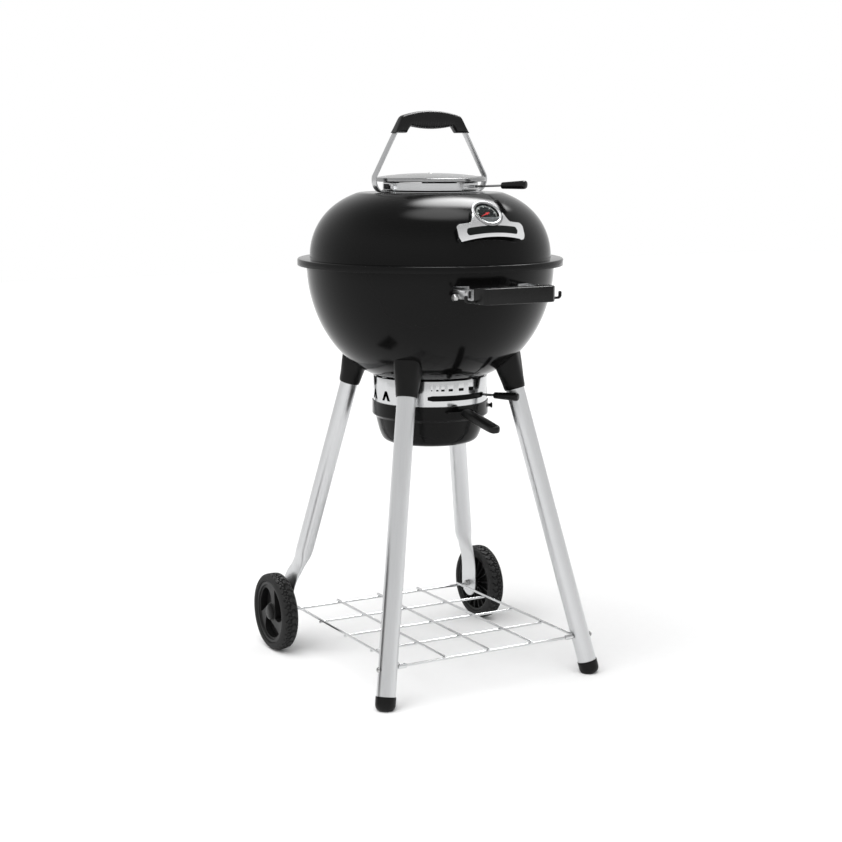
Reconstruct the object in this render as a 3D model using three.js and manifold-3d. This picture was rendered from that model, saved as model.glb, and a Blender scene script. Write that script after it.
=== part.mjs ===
// Kettle charcoal grill, 18-inch class. Millimetres, +Z up, front towards -Y, kettle axis through x = y = 0.
import * as THREE from "three";
import { mergeVertices } from "three/addons/utils/BufferGeometryUtils.js";
import Module from "manifold-3d";

const wasm = await Module();
wasm.setup();

// ---------------------------------------------------------------- driving dimensions
const GAP = 0.3; // clearance between pieces that touch
const SHEET = 1.6; // enamelled steel of lid and bowl
const RIM_R = 245; // outer radius of the lid's lip
const RIM_Z = [755.6, 767.9]; // lip's lower edge and flange's top
const LID = { r: 222.06, base: 770.1, rise: 130.72, pr: 2 / 3.061, pz: 2 / 2.058 };
const LID_DECK = { z: 887.5, r: 125.5 }; // flat deck round the top vent
const LID_HOLE_R = 74;
const BOWL = { r: 227.95, top: 754.3, drop: 217.4, pr: 2 / 2.621, pz: 2 / 1.865 };
const BOWL_RIM_R = 241.5;

const VENT = { baseR: 90, drumR: 84, sleeveR: 87, z: [887.8, 905.5], windows: [-102, 98, 178], half: 17 };
const CAP = { r: 102.5, z: [907, 922] };
const TOP_LEVER = { az: 30, z: 898.5, rise: 2.4, r: [88, 148.5, 197.5] };

const HANDLE = {
  foot: 89.5, bolt: 95.5, wide: 116.8, wideZ: 917, top: 61.5, strapZ: 1017, width: 16, thick: 3, depth: 21,
};
const GAUGE = { r: 193, z: 849.2, elev: 46, bezelR: 29, height: 12, dialR: 22.5 };

const RING = { r: 106.5, sheet: 1.2, z: [490, 551.2], neckR: 100.5 };
const SLEEVE = { r: 104.1, sheet: 1.2, z: [507, 545] };
const SLOT = { az: 2.5, sweep: 34.5, half: 5 }; // reaches sweep degrees to each side of az, for the lower lever
const CHEVRONS = { az: 56, pitch: 22.5, count: 12, half: 11.5, z: [510, 528] };
const MARKS = { az: [-28, -22.5, -17, -9, 2.5, 15], z: 534.5 }; // air marks that grow along the row
const LOW_LEVER = { az: 33, z: 519.5, r: [102, 132.5, 181] };
const PAN = { r: 108.5, sheet: 1.4, z: [426, 504] };

const FRONT_BAR = { half: 68, heel: 77, y: [-282, -313], z: [707.6, 735.6] };
const BRACKET = { x: [73.6, 76.1], z: [713, 733], boltY: -226, boltZ: 715 };

const LEG = { r: 17.25, wall: 1.5, x: 217.4, yFront: 224.5, yRear: 218, inX: 0.195, inY: 0.205, top: 562 };
const PRESSED = { z: [128, 200], bend: [100, 190], half: 26.5 }; // flat lower end of a rear leg
const SOCKET = { z: [530, 610], r: [19.6, 28] };
const FOOT = { r: 18.4, height: 24, floor: 9.2 }; // floor is the cup's inner bottom
const WHEEL = { r: 75, width: 33, x: 232, y: 200, hubR: 60 };
const SHELF = { rod: 2.5, half: 182.4, y: [-211.8, 207.8], zTop: 75, zCross: 70.6, bars: 5 };
const TAB = { x: 206.8, thick: 3.2 };

const COOK = { r: 218, rod: 3, z: 737, bars: 9 };
const COAL = { r: 171, rod: 3.5, z: 606.5, bars: 5 };

const AXIS_Y = 19; // the kettle's axis stands behind the middle of the footprint
const SIDES = { shell: 28, round: 24, tube: 12, small: 8 }; // facets round a full turn

// ---------------------------------------------------------------- materials
const looks = {
  enamel: [0x17181a, 0.12, 0.1],
  satinSteel: [0xb9bcbf, 0.34, 1],
  polished: [0xd2d4d6, 0.12, 1],
  chromeWire: [0xc8cacc, 0.2, 1],
  aluminium: [0xc2c5c8, 0.38, 1],
  resin: [0x232324, 0.55, 0],
  rubber: [0x1b1b1c, 0.85, 0],
  dial: [0x1c2422, 0.6, 0],
  pointer: [0xc8202a, 0.5, 0],
  glass: [0xdfe8ea, 0.05, 0],
  zinc: [0x9fa3a6, 0.35, 1],
};

const grill = new THREE.Group();
grill.name = "kettle_grill";
grill.position.y = AXIS_Y;

function put(name, solid, look, parent = grill) {
  const [color, roughness, metalness] = looks[look];
  const material = new THREE.MeshStandardMaterial({ color, roughness, metalness });
  const mesh = new THREE.Mesh(toGeometry(solid), material);
  mesh.name = name;
  parent.add(mesh);
}

// ---------------------------------------------------------------- solids and booleans
function toSolid(geometry) {
  const bare = new THREE.BufferGeometry();
  bare.setAttribute("position", geometry.getAttribute("position").clone());
  if (geometry.index) bare.setIndex(geometry.index.clone());
  const merged = mergeVertices(bare, 1e-3);
  const index = merged.index.array;
  const kept = [];
  for (let i = 0; i < index.length; i += 3) {
    const [a, b, c] = [index[i], index[i + 1], index[i + 2]];
    if (a !== b && b !== c && c !== a) kept.push(a, b, c);
  }
  return weld(merged.getAttribute("position").array, kept);
}

function weld(positions, triangles) {
  const mesh = new wasm.Mesh({
    numProp: 3,
    vertProperties: new Float32Array(positions),
    triVerts: new Uint32Array(triangles),
  });
  const solid = new wasm.Manifold(mesh);
  if (solid.volume() >= 0) return solid;
  const inward = [...triangles];
  for (let i = 0; i < inward.length; i += 3) [inward[i], inward[i + 1]] = [inward[i + 1], inward[i]];
  return weld(positions, inward);
}

function toGeometry(solid) {
  const mesh = solid.getMesh();
  const geometry = new THREE.BufferGeometry();
  geometry.setAttribute("position", new THREE.BufferAttribute(new Float32Array(mesh.vertProperties), 3));
  geometry.setIndex(new THREE.BufferAttribute(new Uint32Array(mesh.triVerts), 1));
  return geometry;
}

// The solid moved by a three.js matrix; a mirrored one keeps its faces pointing out.
function moved(solid, matrix) {
  const geometry = toGeometry(solid).applyMatrix4(matrix);
  return weld(geometry.getAttribute("position").array, geometry.index.array);
}

const shifted = (solid, x, y, z) => moved(solid, new THREE.Matrix4().makeTranslation(x, y, z));
const turned = (solid, degrees) => moved(solid, new THREE.Matrix4().makeRotationZ(rad(degrees)));
const tipped = (solid, degrees) => moved(solid, new THREE.Matrix4().makeRotationX(rad(degrees)));
const mirrored = (solid) => moved(solid, new THREE.Matrix4().makeScale(-1, 1, 1));

const union = (...solids) => solids.reduce((sum, next) => sum.add(next));
const cut = (body, ...tools) => tools.reduce((rest, tool) => rest.subtract(tool), body);

// A closed profile of [r, z] points turned about Z.
function lathe(profile, segments = SIDES.round) {
  const points = profile.map(([r, h]) => new THREE.Vector2(r, h));
  if (profile[0][0] > 0) points.push(points[0].clone());
  const geometry = new THREE.LatheGeometry(points, segments);
  geometry.rotateX(Math.PI / 2);
  return toSolid(geometry);
}

// A flat ring or disc between two heights.
const ring = (rIn, rOut, z0, z1, segments = SIDES.round) =>
  lathe(rIn > 0
    ? [[rIn, z0], [rOut, z0], [rOut, z1], [rIn, z1]]
    : [[0, z0], [rOut, z0], [rOut, z1], [0, z1]], segments);

function box(x0, x1, y0, y1, z0, z1) {
  const geometry = new THREE.BoxGeometry(x1 - x0, y1 - y0, z1 - z0);
  geometry.translate((x0 + x1) / 2, (y0 + y1) / 2, (z0 + z1) / 2);
  return toSolid(geometry);
}

// A round bar from point a to point b, tapering from r0 to r1.
function bar(a, b, r0, r1 = r0, sides = SIDES.small) {
  const from = new THREE.Vector3(...a);
  const to = new THREE.Vector3(...b);
  const geometry = new THREE.CylinderGeometry(r1, r0, from.distanceTo(to), sides);
  const direction = to.clone().sub(from).normalize();
  geometry.applyQuaternion(new THREE.Quaternion().setFromUnitVectors(new THREE.Vector3(0, 1, 0), direction));
  const middle = from.add(to).multiplyScalar(0.5);
  geometry.translate(middle.x, middle.y, middle.z);
  return toSolid(geometry);
}

// An outline of [x, y] points or a THREE.Shape, extruded by depth along +Z, with an optional small bevel.
function plate(outline, depth, bevel = 0, curveSegments = 4) {
  const drawn = Array.isArray(outline);
  const shape = drawn ? new THREE.Shape(outline.map((p) => new THREE.Vector2(...p))) : outline;
  const geometry = new THREE.ExtrudeGeometry(shape, {
    depth: depth - 2 * bevel,
    bevelEnabled: bevel > 0,
    bevelThickness: bevel,
    bevelSize: bevel,
    bevelOffset: -bevel,
    bevelSegments: 1,
    curveSegments,
  });
  geometry.translate(0, 0, bevel);
  return geometry;
}

// Shape drawn in the XZ plane, its depth along Y centred on y.
function plateXZ(outline, depth, y, bevel = 0, curveSegments = 4) {
  const geometry = plate(outline, depth, bevel, curveSegments);
  geometry.rotateX(Math.PI / 2);
  geometry.translate(0, y + depth / 2, 0);
  return toSolid(geometry);
}

// Shape drawn in the XY plane, its depth along Z from z.
function plateXY(outline, depth, z, bevel = 0, curveSegments = 4) {
  const geometry = plate(outline, depth, bevel, curveSegments);
  geometry.translate(0, 0, z);
  return toSolid(geometry);
}

const rad = (degrees) => degrees * Math.PI / 180;
const polar = (azimuth, r, z) => [r * Math.sin(rad(azimuth)), -r * Math.cos(rad(azimuth)), z];
const steps = (n, f) => Array.from({ length: n }, (_, i) => f(i / (n - 1), i));

// ---------------------------------------------------------------- lid and bowl profiles
const LID_TURN = rad(60.7); // where the dome's curve runs out into the flat deck
const BOWL_TURN = rad(73.9); // where the bowl's curve reaches its bottom opening

// The dome's [r, z] points from its foot to the vent opening, offset by grow along the wall.
function lidCurve(grow, holeR) {
  const dome = steps(6, (k) => {
    const t = k * LID_TURN;
    return [(LID.r + grow) * Math.cos(t) ** LID.pr, LID.base + (LID.rise + grow) * Math.sin(t) ** LID.pz];
  });
  const [r0, z0] = dome[dome.length - 1];
  const deckZ = LID_DECK.z + grow;
  const shoulder = [(r0 + LID_DECK.r) / 2, z0 + (deckZ - z0) * 0.72];
  return [...dome, shoulder, [LID_DECK.r, deckZ], [holeR, deckZ]];
}

// The bowl's [r, z] points from its rim down to the bottom opening, offset by grow along the wall.
function bowlCurve(grow) {
  return steps(8, (k) => {
    const t = k * BOWL_TURN;
    return [(BOWL.r + grow) * Math.cos(t) ** BOWL.pr, BOWL.top - (BOWL.drop + grow) * Math.sin(t) ** BOWL.pz];
  });
}

const lidSolid = (grow) => {
  const curve = lidCurve(grow, 0);
  return lathe([[0, 700], [curve[0][0], 700], ...curve], SIDES.shell);
};
const bowlSolid = (grow) => {
  const curve = bowlCurve(grow).reverse();
  return lathe([[0, curve[0][1] - 0.01], ...curve, [curve[curve.length - 1][0], 800], [0, 800]], SIDES.shell);
};

// ---------------------------------------------------------------- lid
function lidShell() {
  const outer = lidCurve(0, LID_HOLE_R);
  const inner = lidCurve(-SHEET, LID_HOLE_R);
  const [lipLow, top] = RIM_Z;
  const profile = [
    [RIM_R - SHEET, lipLow],
    [RIM_R, lipLow],
    [RIM_R, top],
    [LID.r + 2, top],
    ...outer,
    ...inner.reverse(),
    [LID.r - SHEET, top - SHEET],
    [RIM_R - SHEET, top - SHEET],
  ];
  const stemHole = gaugeFrame(ring(0, 5, -40, 20, SIDES.small));
  return cut(lathe(profile, SIDES.shell), stemHole, ...[-1, 1].map((s) => strapHole(s)));
}

// A sector between two radii, reaching half degrees to each side of an azimuth.
function windowCutter(rIn, rOut, azimuth, half, z0, z1) {
  const arc = steps(3, (k) => azimuth - half + k * 2 * half);
  const outline = [
    ...arc.map((a) => polar(a, rOut).slice(0, 2)),
    ...arc.reverse().map((a) => polar(a, rIn).slice(0, 2)),
  ];
  return plateXY(outline, z1 - z0, z0);
}

function ventCollar() {
  const [z0, z1] = VENT.z;
  const windows = VENT.windows.map((a) => windowCutter(70, 90, a, VENT.half, z0 + 5.5, z1 - 2.5));
  const wall = cut(ring(VENT.drumR - 1.5, VENT.drumR, z0, z1), ...windows);
  const flange = ring(66, VENT.baseR, z0, z0 + 2);
  const feet = [-1, 1].map((s) => box(s > 0 ? 85.5 : -120, s > 0 ? 120 : -85.5, -9, 9, z0 - 1, z0 + 3));
  const spoke = box(-VENT.drumR + 1, VENT.drumR - 1, -6, 6, z1 - 5, z1 - 3);
  const spokes = [0, 60, 120].map((a) => turned(spoke, a));
  const hub = ring(0, 12, z1 - 5, z1 - 1.5, SIDES.tube);
  return cut(union(wall, cut(flange, ...feet), ...spokes, hub), ring(0, 3.3, z0, z1 + 5, SIDES.small));
}

function damperRing() {
  const z0 = VENT.z[0] + 2.5;
  const windows = VENT.windows.map((a) => windowCutter(70, 95, a, VENT.half, z0 + 3, VENT.z[1] - 2.5));
  const wall = cut(ring(VENT.drumR + 1.2, VENT.sleeveR, z0, VENT.z[1]), ...windows);
  const lug = turned(box(-9, 9, -94, -86.4, TOP_LEVER.z - 1.4, TOP_LEVER.z + 1.4), TOP_LEVER.az);
  const rodHole = bar(...leverRod(), 2.3);
  return cut(union(wall, lug), rodHole);
}

function leverRod() {
  const { az, z, rise, r } = TOP_LEVER;
  const slope = Math.tan(rad(rise));
  return [polar(az, r[0] + 1, z), polar(az, r[2] - 12, z + (r[2] - 12 - r[0]) * slope)];
}

function leverGrip(az, r0, r1, z0, slope, hole) {
  const long = r1 - r0;
  const profile = [
    [0, 0], [5.6, 0], [6.6, 1.6], [6.8, 10], [7.6, long * 0.62], [8.2, long * 0.86], [7.2, long - 1],
    [5.2, long], [0, long],
  ];
  const body = lathe(profile, 12);
  const lying = shifted(tipped(body, 90 - Math.atan(slope) * 180 / Math.PI), 0, -r0, z0);
  return cut(turned(lying, az), hole);
}

function topGrip() {
  const { az, z, rise, r } = TOP_LEVER;
  const slope = Math.tan(rad(rise));
  const [a, b] = leverRod();
  const end = b.map((v, i) => v + (v - a[i]) * 0.004);
  return leverGrip(az, r[1], r[2], z + (r[1] - r[0]) * slope, slope, bar(a, end, 2 + GAP, 2 + GAP, 10));
}

function ventCap() {
  const [z0, z1] = CAP.z;
  const post = VENT.z[1] - 1.2;
  const profile = [
    [0, z1], [50, z1 - 1.6], [94, z1 - 7.2], [CAP.r, z1 - 10.5], [CAP.r, z0 + 1.6],
    [CAP.r - 1.6, z0], [CAP.r - 4, z0], [CAP.r - 4, z1 - 11], [50, z1 - 3.6], [8, z1 - 2.2],
    [8, post], [3, post], [3, post - 7.8], [0, post - 7.8],
  ];
  return lathe(profile);
}

// Centre line of the lid's handle strap in the XZ plane, right half, from the foot to the middle of the top.
function strapHalf() {
  const h = HANDLE;
  const foot = LID_DECK.z + GAP + h.thick / 2;
  const corner = new THREE.CubicBezierCurve(
    new THREE.Vector2(h.foot + 12, foot),
    new THREE.Vector2(h.foot + 21, foot + 0.5),
    new THREE.Vector2(h.wide + 1.5, foot + 13),
    new THREE.Vector2(h.wide - h.thick / 2, h.wideZ),
  ).getPoints(4);
  const side = new THREE.CubicBezierCurve(
    new THREE.Vector2(h.top + 4.5, h.strapZ - 10),
    new THREE.Vector2(h.top + 2, h.strapZ - 4),
    new THREE.Vector2(h.top - 2, h.strapZ),
    new THREE.Vector2(h.top - 8, h.strapZ),
  ).getPoints(3);
  return [new THREE.Vector2(h.foot, foot), ...corner, ...side];
}

// The strap's outline: its centre line offset by half the thickness on both sides.
function strapOutline(grow) {
  const right = strapHalf();
  const line = [...right, ...right.map((p) => new THREE.Vector2(-p.x, p.y)).reverse()];
  const half = HANDLE.thick / 2 + grow;
  const side = (sign) => line.map((p, i) => {
    const before = line[Math.max(i - 1, 0)];
    const after = line[Math.min(i + 1, line.length - 1)];
    const along = after.clone().sub(before).normalize();
    return [p.x - sign * along.y * half, p.y + sign * along.x * half];
  });
  return [...side(1), ...side(-1).reverse()];
}

const strapBolt = (s, z0, z1, r0, r1 = r0, sides = SIDES.small) =>
  bar([s * HANDLE.bolt, 0, z0], [s * HANDLE.bolt, 0, z1], r0, r1, sides);
const strapHole = (s) => strapBolt(s, 870, 905, 2.8);

const lidStrap = () => cut(plateXZ(strapOutline(0), HANDLE.width, 0), strapHole(-1), strapHole(1));

function lidGrip() {
  const shape = new THREE.Shape();
  shape.moveTo(-77, 994);
  shape.lineTo(-62.5, 1023.5);
  shape.quadraticCurveTo(-61, 1026, -58, 1026.5);
  shape.quadraticCurveTo(0, 1043, 58, 1026.5);
  shape.quadraticCurveTo(61, 1026, 62.5, 1023.5);
  shape.lineTo(77, 994);
  shape.lineTo(52, 994);
  shape.quadraticCurveTo(50, 1004, 43, 1006);
  shape.quadraticCurveTo(0, 997, -43, 1006);
  shape.quadraticCurveTo(-50, 1004, -52, 994);
  shape.closePath();
  const body = plateXZ(shape, HANDLE.depth, 0, 2, 5);
  const tunnel = plateXZ(strapOutline(GAP), HANDLE.width + 2 * GAP, 0);
  return cut(body, tunnel);
}

// Bolt with its head above the strap's foot and its nut under the lid.
const lidBolt = (s) => union(
  strapBolt(s, 880.5, 892, 2.5),
  strapBolt(s, LID_DECK.z + HANDLE.thick + 2 * GAP, 893.6, 4.6, 3.8),
  strapBolt(s, 881, LID_DECK.z - SHEET - GAP, 4.6, 4.6, 6),
);

// ---------------------------------------------------------------- thermometer
// Local +Z of the gauge points out of the lid along its face normal.
function gaugeFrame(solid) {
  return shifted(tipped(solid, 90 - GAUGE.elev), 0, -GAUGE.r, GAUGE.z);
}

function gaugeCase() {
  const { bezelR, height, dialR } = GAUGE;
  const profile = [
    [0, -10], [bezelR - 2, -10], [bezelR - 2, height - 8], [bezelR, height - 6], [bezelR, height - 2],
    [bezelR - 2, height], [dialR + 2, height], [dialR + 0.3, height - 1.5], [dialR + 0.3, height - 5.5],
    [0, height - 5.5],
  ];
  const body = cut(gaugeFrame(lathe(profile)), lidSolid(GAP));
  const stem = gaugeFrame(ring(0, 4, -46, 3, SIDES.small));
  return union(body, stem);
}

const gaugeDial = () => gaugeFrame(ring(1.5, GAUGE.dialR, GAUGE.height - 5.2, GAUGE.height - 4.4));
const gaugeLens = () => gaugeFrame(ring(0, GAUGE.dialR, GAUGE.height - 2.6, GAUGE.height - 1.6));

function gaugePointer() {
  const needle = plateXY([[-3.4, -2.6], [-1.2, 0], [-3.4, 2.6], [-6.2, 1.5], [-6.2, -1.5]], 0.8, 0);
  const shaft = plateXY([[-2, -1.1], [14.5, -0.5], [15.5, 0], [14.5, 0.5], [-2, 1.1]], 0.8, 0);
  const hub = ring(0, 2.4, 0, 0.8, SIDES.small);
  const body = turned(union(needle, shaft, hub), 205);
  return gaugeFrame(shifted(body, 0, 0, GAUGE.height - 4));
}

const gaugeNut = () => cut(
  gaugeFrame(cut(ring(0, 8.5, -12.5, -6.5, 6), ring(0, 4.4, -20, 4, SIDES.small))),
  cut(box(-40, 40, -240, -120, 790, 900), lidSolid(-SHEET - GAP)),
);

// A plain raised plaque under the gauge, standing on two feet and a neck.
function badgePlate() {
  const shape = new THREE.Shape();
  shape.moveTo(-61, 808);
  shape.quadraticCurveTo(-69, 820, -67, 830);
  shape.quadraticCurveTo(-65, 838, -54, 839);
  shape.lineTo(-43, 840.5);
  shape.quadraticCurveTo(-34, 843, -31, 856);
  shape.lineTo(31, 856);
  shape.quadraticCurveTo(34, 843, 43, 840.5);
  shape.lineTo(54, 839);
  shape.quadraticCurveTo(65, 838, 67, 830);
  shape.quadraticCurveTo(69, 820, 61, 808);
  shape.quadraticCurveTo(56, 806, 53, 811);
  shape.quadraticCurveTo(0, 822, -53, 811);
  shape.quadraticCurveTo(-56, 806, -61, 808);
  const face = plateXZ(shape, 130, -215, 0, 3).intersect(cut(lidSolid(13), lidSolid(9.5)));
  const gapFill = cut(lidSolid(9.6), lidSolid(GAP));
  const feet = [-60, 60].map((x) => box(x - 4, x + 4, -240, -180, 809, 816).intersect(gapFill));
  const neck = box(-24, 24, -240, -170, 838, 850).intersect(gapFill);
  const seat = gaugeFrame(ring(0, GAUGE.bezelR + GAP, -30, 30));
  return cut(union(face, neck, ...feet), seat);
}

// ---------------------------------------------------------------- bowl
function bowlShell() {
  const outer = bowlCurve(0);
  const inner = bowlCurve(-SHEET);
  const top = RIM_Z[1] - SHEET - GAP;
  const profile = [
    [BOWL_RIM_R - SHEET, top - 7],
    [BOWL_RIM_R, top - 7],
    [BOWL_RIM_R, top],
    [BOWL.r, top],
    [BOWL.r - SHEET, top - 3.5],
    ...inner,
    ...outer.reverse(),
    [BOWL.r + 1.5, top - SHEET],
    [BOWL_RIM_R - SHEET, top - SHEET],
  ];
  return lathe(profile, SIDES.shell);
}

// A flat grid inside a round rim; bars run along Y, with cross bars along X under them.
function grate({ r, rod, z, bars }, crossBars, barR) {
  const rim = toSolid(new THREE.TorusGeometry(r - rod, rod, 4, SIDES.shell).translate(0, 0, z));
  const pieces = [];
  for (let i = 1; i <= bars; i += 1) {
    const x = -r + i * 2 * r / (bars + 1);
    const half = Math.sqrt((r - rod) ** 2 - x * x);
    pieces.push(box(x - barR, x + barR, -half, half, z - barR + 0.4, z + barR + 0.4));
  }
  for (let i = 0; i < crossBars; i += 1) {
    const y = (i - (crossBars - 1) / 2) * r;
    const half = Math.sqrt((r - rod) ** 2 - y * y);
    pieces.push(box(-half, half, y - barR, y + barR, z - rod, z + 0.2));
  }
  return union(rim, ...pieces);
}

function grateTab(azimuth) {
  const top = COOK.z - COOK.rod - 1.2;
  const ledge = box(-11, 11, -230, -206, top - 2, top);
  const back = box(-11, 11, -230, -200, top - 22, top);
  const wall = bowlSolid(-SHEET - GAP);
  const skin = cut(wall, bowlSolid(-SHEET - GAP - 2.4));
  return union(turned(ledge, azimuth).intersect(wall), turned(back, azimuth).intersect(skin));
}

// ---------------------------------------------------------------- lower vent and ash pan
const chevronAzimuths = Array.from({ length: CHEVRONS.count }, (_, i) => CHEVRONS.az + i * CHEVRONS.pitch);

function chevron(azimuth) {
  const { half, z: [z0, z1] } = CHEVRONS;
  const stroke = half * 0.6;
  const outline = [
    [-half, z0], [stroke - half, z0], [0, z0 + (z1 - z0) * 0.45], [half - stroke, z0], [half, z0],
    [stroke / 2, z1], [-stroke / 2, z1],
  ];
  return turned(plateXZ(outline, 40, -RING.r), azimuth);
}

function levelMark(azimuth, width, height) {
  const [w, h] = [width / 2, height / 2];
  const mark = box(-w, w, -RING.r - 15, -RING.r + 15, MARKS.z - h, MARKS.z + h);
  return turned(mark, azimuth);
}

function ventRing() {
  const [z0, z1] = RING.z;
  const profile = [
    [RING.r - RING.sheet, z0], [RING.r, z0], [RING.r, z1 - 1], [RING.r - 0.4, z1 - 0.4],
    [RING.neckR, z1 - 2.2], [RING.neckR, z1 - 3.4], [RING.r - RING.sheet, z1 - 2.4],
  ];
  const slot = windowCutter(95, 115, SLOT.az, SLOT.sweep, LOW_LEVER.z - SLOT.half, LOW_LEVER.z + SLOT.half);
  const marks = MARKS.az.map((a, i) => levelMark(a, 2.2 + 2.1 * i, 2.2 + 0.75 * i));
  return cut(lathe(profile, SIDES.shell), slot, ...chevronAzimuths.map(chevron), ...marks, bowlSolid(GAP));
}

function damperSleeve() {
  const [z0, z1] = SLEEVE.z;
  const wall = ring(SLEEVE.r - SLEEVE.sheet, SLEEVE.r, z0, z1, SIDES.shell);
  const windows = chevronAzimuths.map((a) => windowCutter(95, 112, a, 6.2, z0 + 2, z1 - 14));
  const boss = bar(polar(LOW_LEVER.az, 96, LOW_LEVER.z), polar(LOW_LEVER.az, SLEEVE.r - 0.6, LOW_LEVER.z), 6);
  const hole = bar(polar(LOW_LEVER.az, 90, LOW_LEVER.z), polar(LOW_LEVER.az, 120, LOW_LEVER.z), 2.8);
  return cut(union(cut(wall, ...windows), boss), hole);
}

const lowRod = (end, r) =>
  bar(polar(LOW_LEVER.az, 97, LOW_LEVER.z), polar(LOW_LEVER.az, end, LOW_LEVER.z), r, r, 10);

function lowGrip() {
  const { az, z, r } = LOW_LEVER;
  return leverGrip(az, r[1], r[2], z, 0, lowRod(170.3, 2.4 + GAP));
}

function ashPan() {
  const { r, sheet, z } = PAN;
  const outer = [[r, z[1]], [r, 479], [102, 475], [95, 446], [88, 431], [78, z[0]], [0, z[0]]];
  const inner = outer.map(([a, b]) => [Math.max(a - sheet, 0), b === z[1] ? b : b + sheet]);
  return lathe([...inner.reverse(), ...outer], SIDES.shell);
}

function panBracket() {
  const outline = [
    [-28, -106], [28, -106], [25, -119], [7, -129], [7, -150], [-7, -150], [-7, -129], [-25, -119],
  ];
  return cut(plateXY(outline, 2.6, 493.5), ring(0, PAN.r + GAP, 480, 505, SIDES.shell));
}

function panGrip() {
  const outline = new THREE.Shape();
  outline.moveTo(-10, 0);
  outline.lineTo(10, 0);
  outline.lineTo(11.5, -92);
  outline.quadraticCurveTo(11, -109, 0, -109);
  outline.quadraticCurveTo(-11, -109, -11.5, -92);
  outline.closePath();
  const tilt = Math.atan(17 / 109) * 180 / Math.PI;
  const body = shifted(tipped(plateXY(outline, 16, -8, 3), tilt), 0, -131, 495);
  return cut(body, box(-7.3, 7.3, -150.3, -125, 493.2, 496.4));
}

function panKnob(azimuth) {
  const at = (r) => polar(azimuth, r, 492);
  return bar(at(PAN.r + GAP), at(PAN.r + 8.5), 4.6, 5.6);
}

// ---------------------------------------------------------------- front handle
function frontBar() {
  const { half, heel, y } = FRONT_BAR;
  const shape = new THREE.Shape();
  shape.moveTo(-heel, y[0]);
  shape.lineTo(-half - 3, y[1] + 5);
  shape.quadraticCurveTo(-half, y[1], -half + 6, y[1]);
  shape.lineTo(half - 6, y[1]);
  shape.quadraticCurveTo(half, y[1], half + 3, y[1] + 5);
  shape.lineTo(heel, y[0]);
  shape.lineTo(50, y[0]);
  shape.quadraticCurveTo(46, y[0] - 8, 38, y[0] - 9);
  shape.quadraticCurveTo(0, y[0] - 4, -38, y[0] - 9);
  shape.quadraticCurveTo(-46, y[0] - 8, -50, y[0]);
  shape.closePath();
  const body = plateXY(shape, FRONT_BAR.z[1] - FRONT_BAR.z[0], FRONT_BAR.z[0], 2.5, 4);
  const hook = union(box(70, 98, -292, -284, 710, 714.5), box(91, 98, -292, -284, 710, 724));
  return union(body, hook, mirrored(hook));
}

// A steel plate standing on the bowl, with a foot along the bowl and a tab behind the bar's heel.
function handleBracket(s) {
  const [x0, x1] = BRACKET.x;
  const [z0, z1] = BRACKET.z;
  const heelY = FRONT_BAR.y[0] + GAP;
  const wall = bowlSolid(GAP);
  const web = cut(box(x0, x1, heelY, -190, z0, z1), wall);
  const footing = box(50, x1, -235, -180, z0, z1).intersect(cut(bowlSolid(GAP + 2.5), wall));
  const tab = box(52, x1, heelY, heelY + 2.5, z0, z1);
  const slot = box(x0 - 1, x1 + 1, -252, -234, z0 + 12, z0 + 15);
  const body = cut(union(web, footing, tab), slot, bracketBoltHole());
  return s < 0 ? mirrored(body) : body;
}

const bracketBoltHole = () =>
  bar([60, BRACKET.boltY, BRACKET.boltZ], [90, BRACKET.boltY, BRACKET.boltZ], 3.3);

function bracketBolt(s) {
  const at = (x) => [x, BRACKET.boltY, BRACKET.boltZ];
  const [, face] = BRACKET.x;
  const bolt = union(bar(at(69), at(face + 3), 3), bar(at(face + GAP), at(face + 8.5), 6.5, 6.5, 6));
  return s < 0 ? mirrored(bolt) : bolt;
}

// ---------------------------------------------------------------- legs
const legPoint = (sx, sy, z) => {
  const y0 = sy < 0 ? LEG.yFront : LEG.yRear;
  return [sx * (LEG.x - LEG.inX * z), sy * (y0 - LEG.inY * z), z];
};

function frontLeg(sx) {
  const boreR = LEG.r - LEG.wall;
  const outer = bar(legPoint(sx, -1, FOOT.floor + GAP), legPoint(sx, -1, LEG.top), LEG.r, LEG.r, SIDES.tube);
  const inner = bar(legPoint(sx, -1, -10), legPoint(sx, -1, LEG.top + 10), boreR, boreR, SIDES.tube);
  return cut(outer, inner, shelfBoltShank(sx, 2.8));
}

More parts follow.
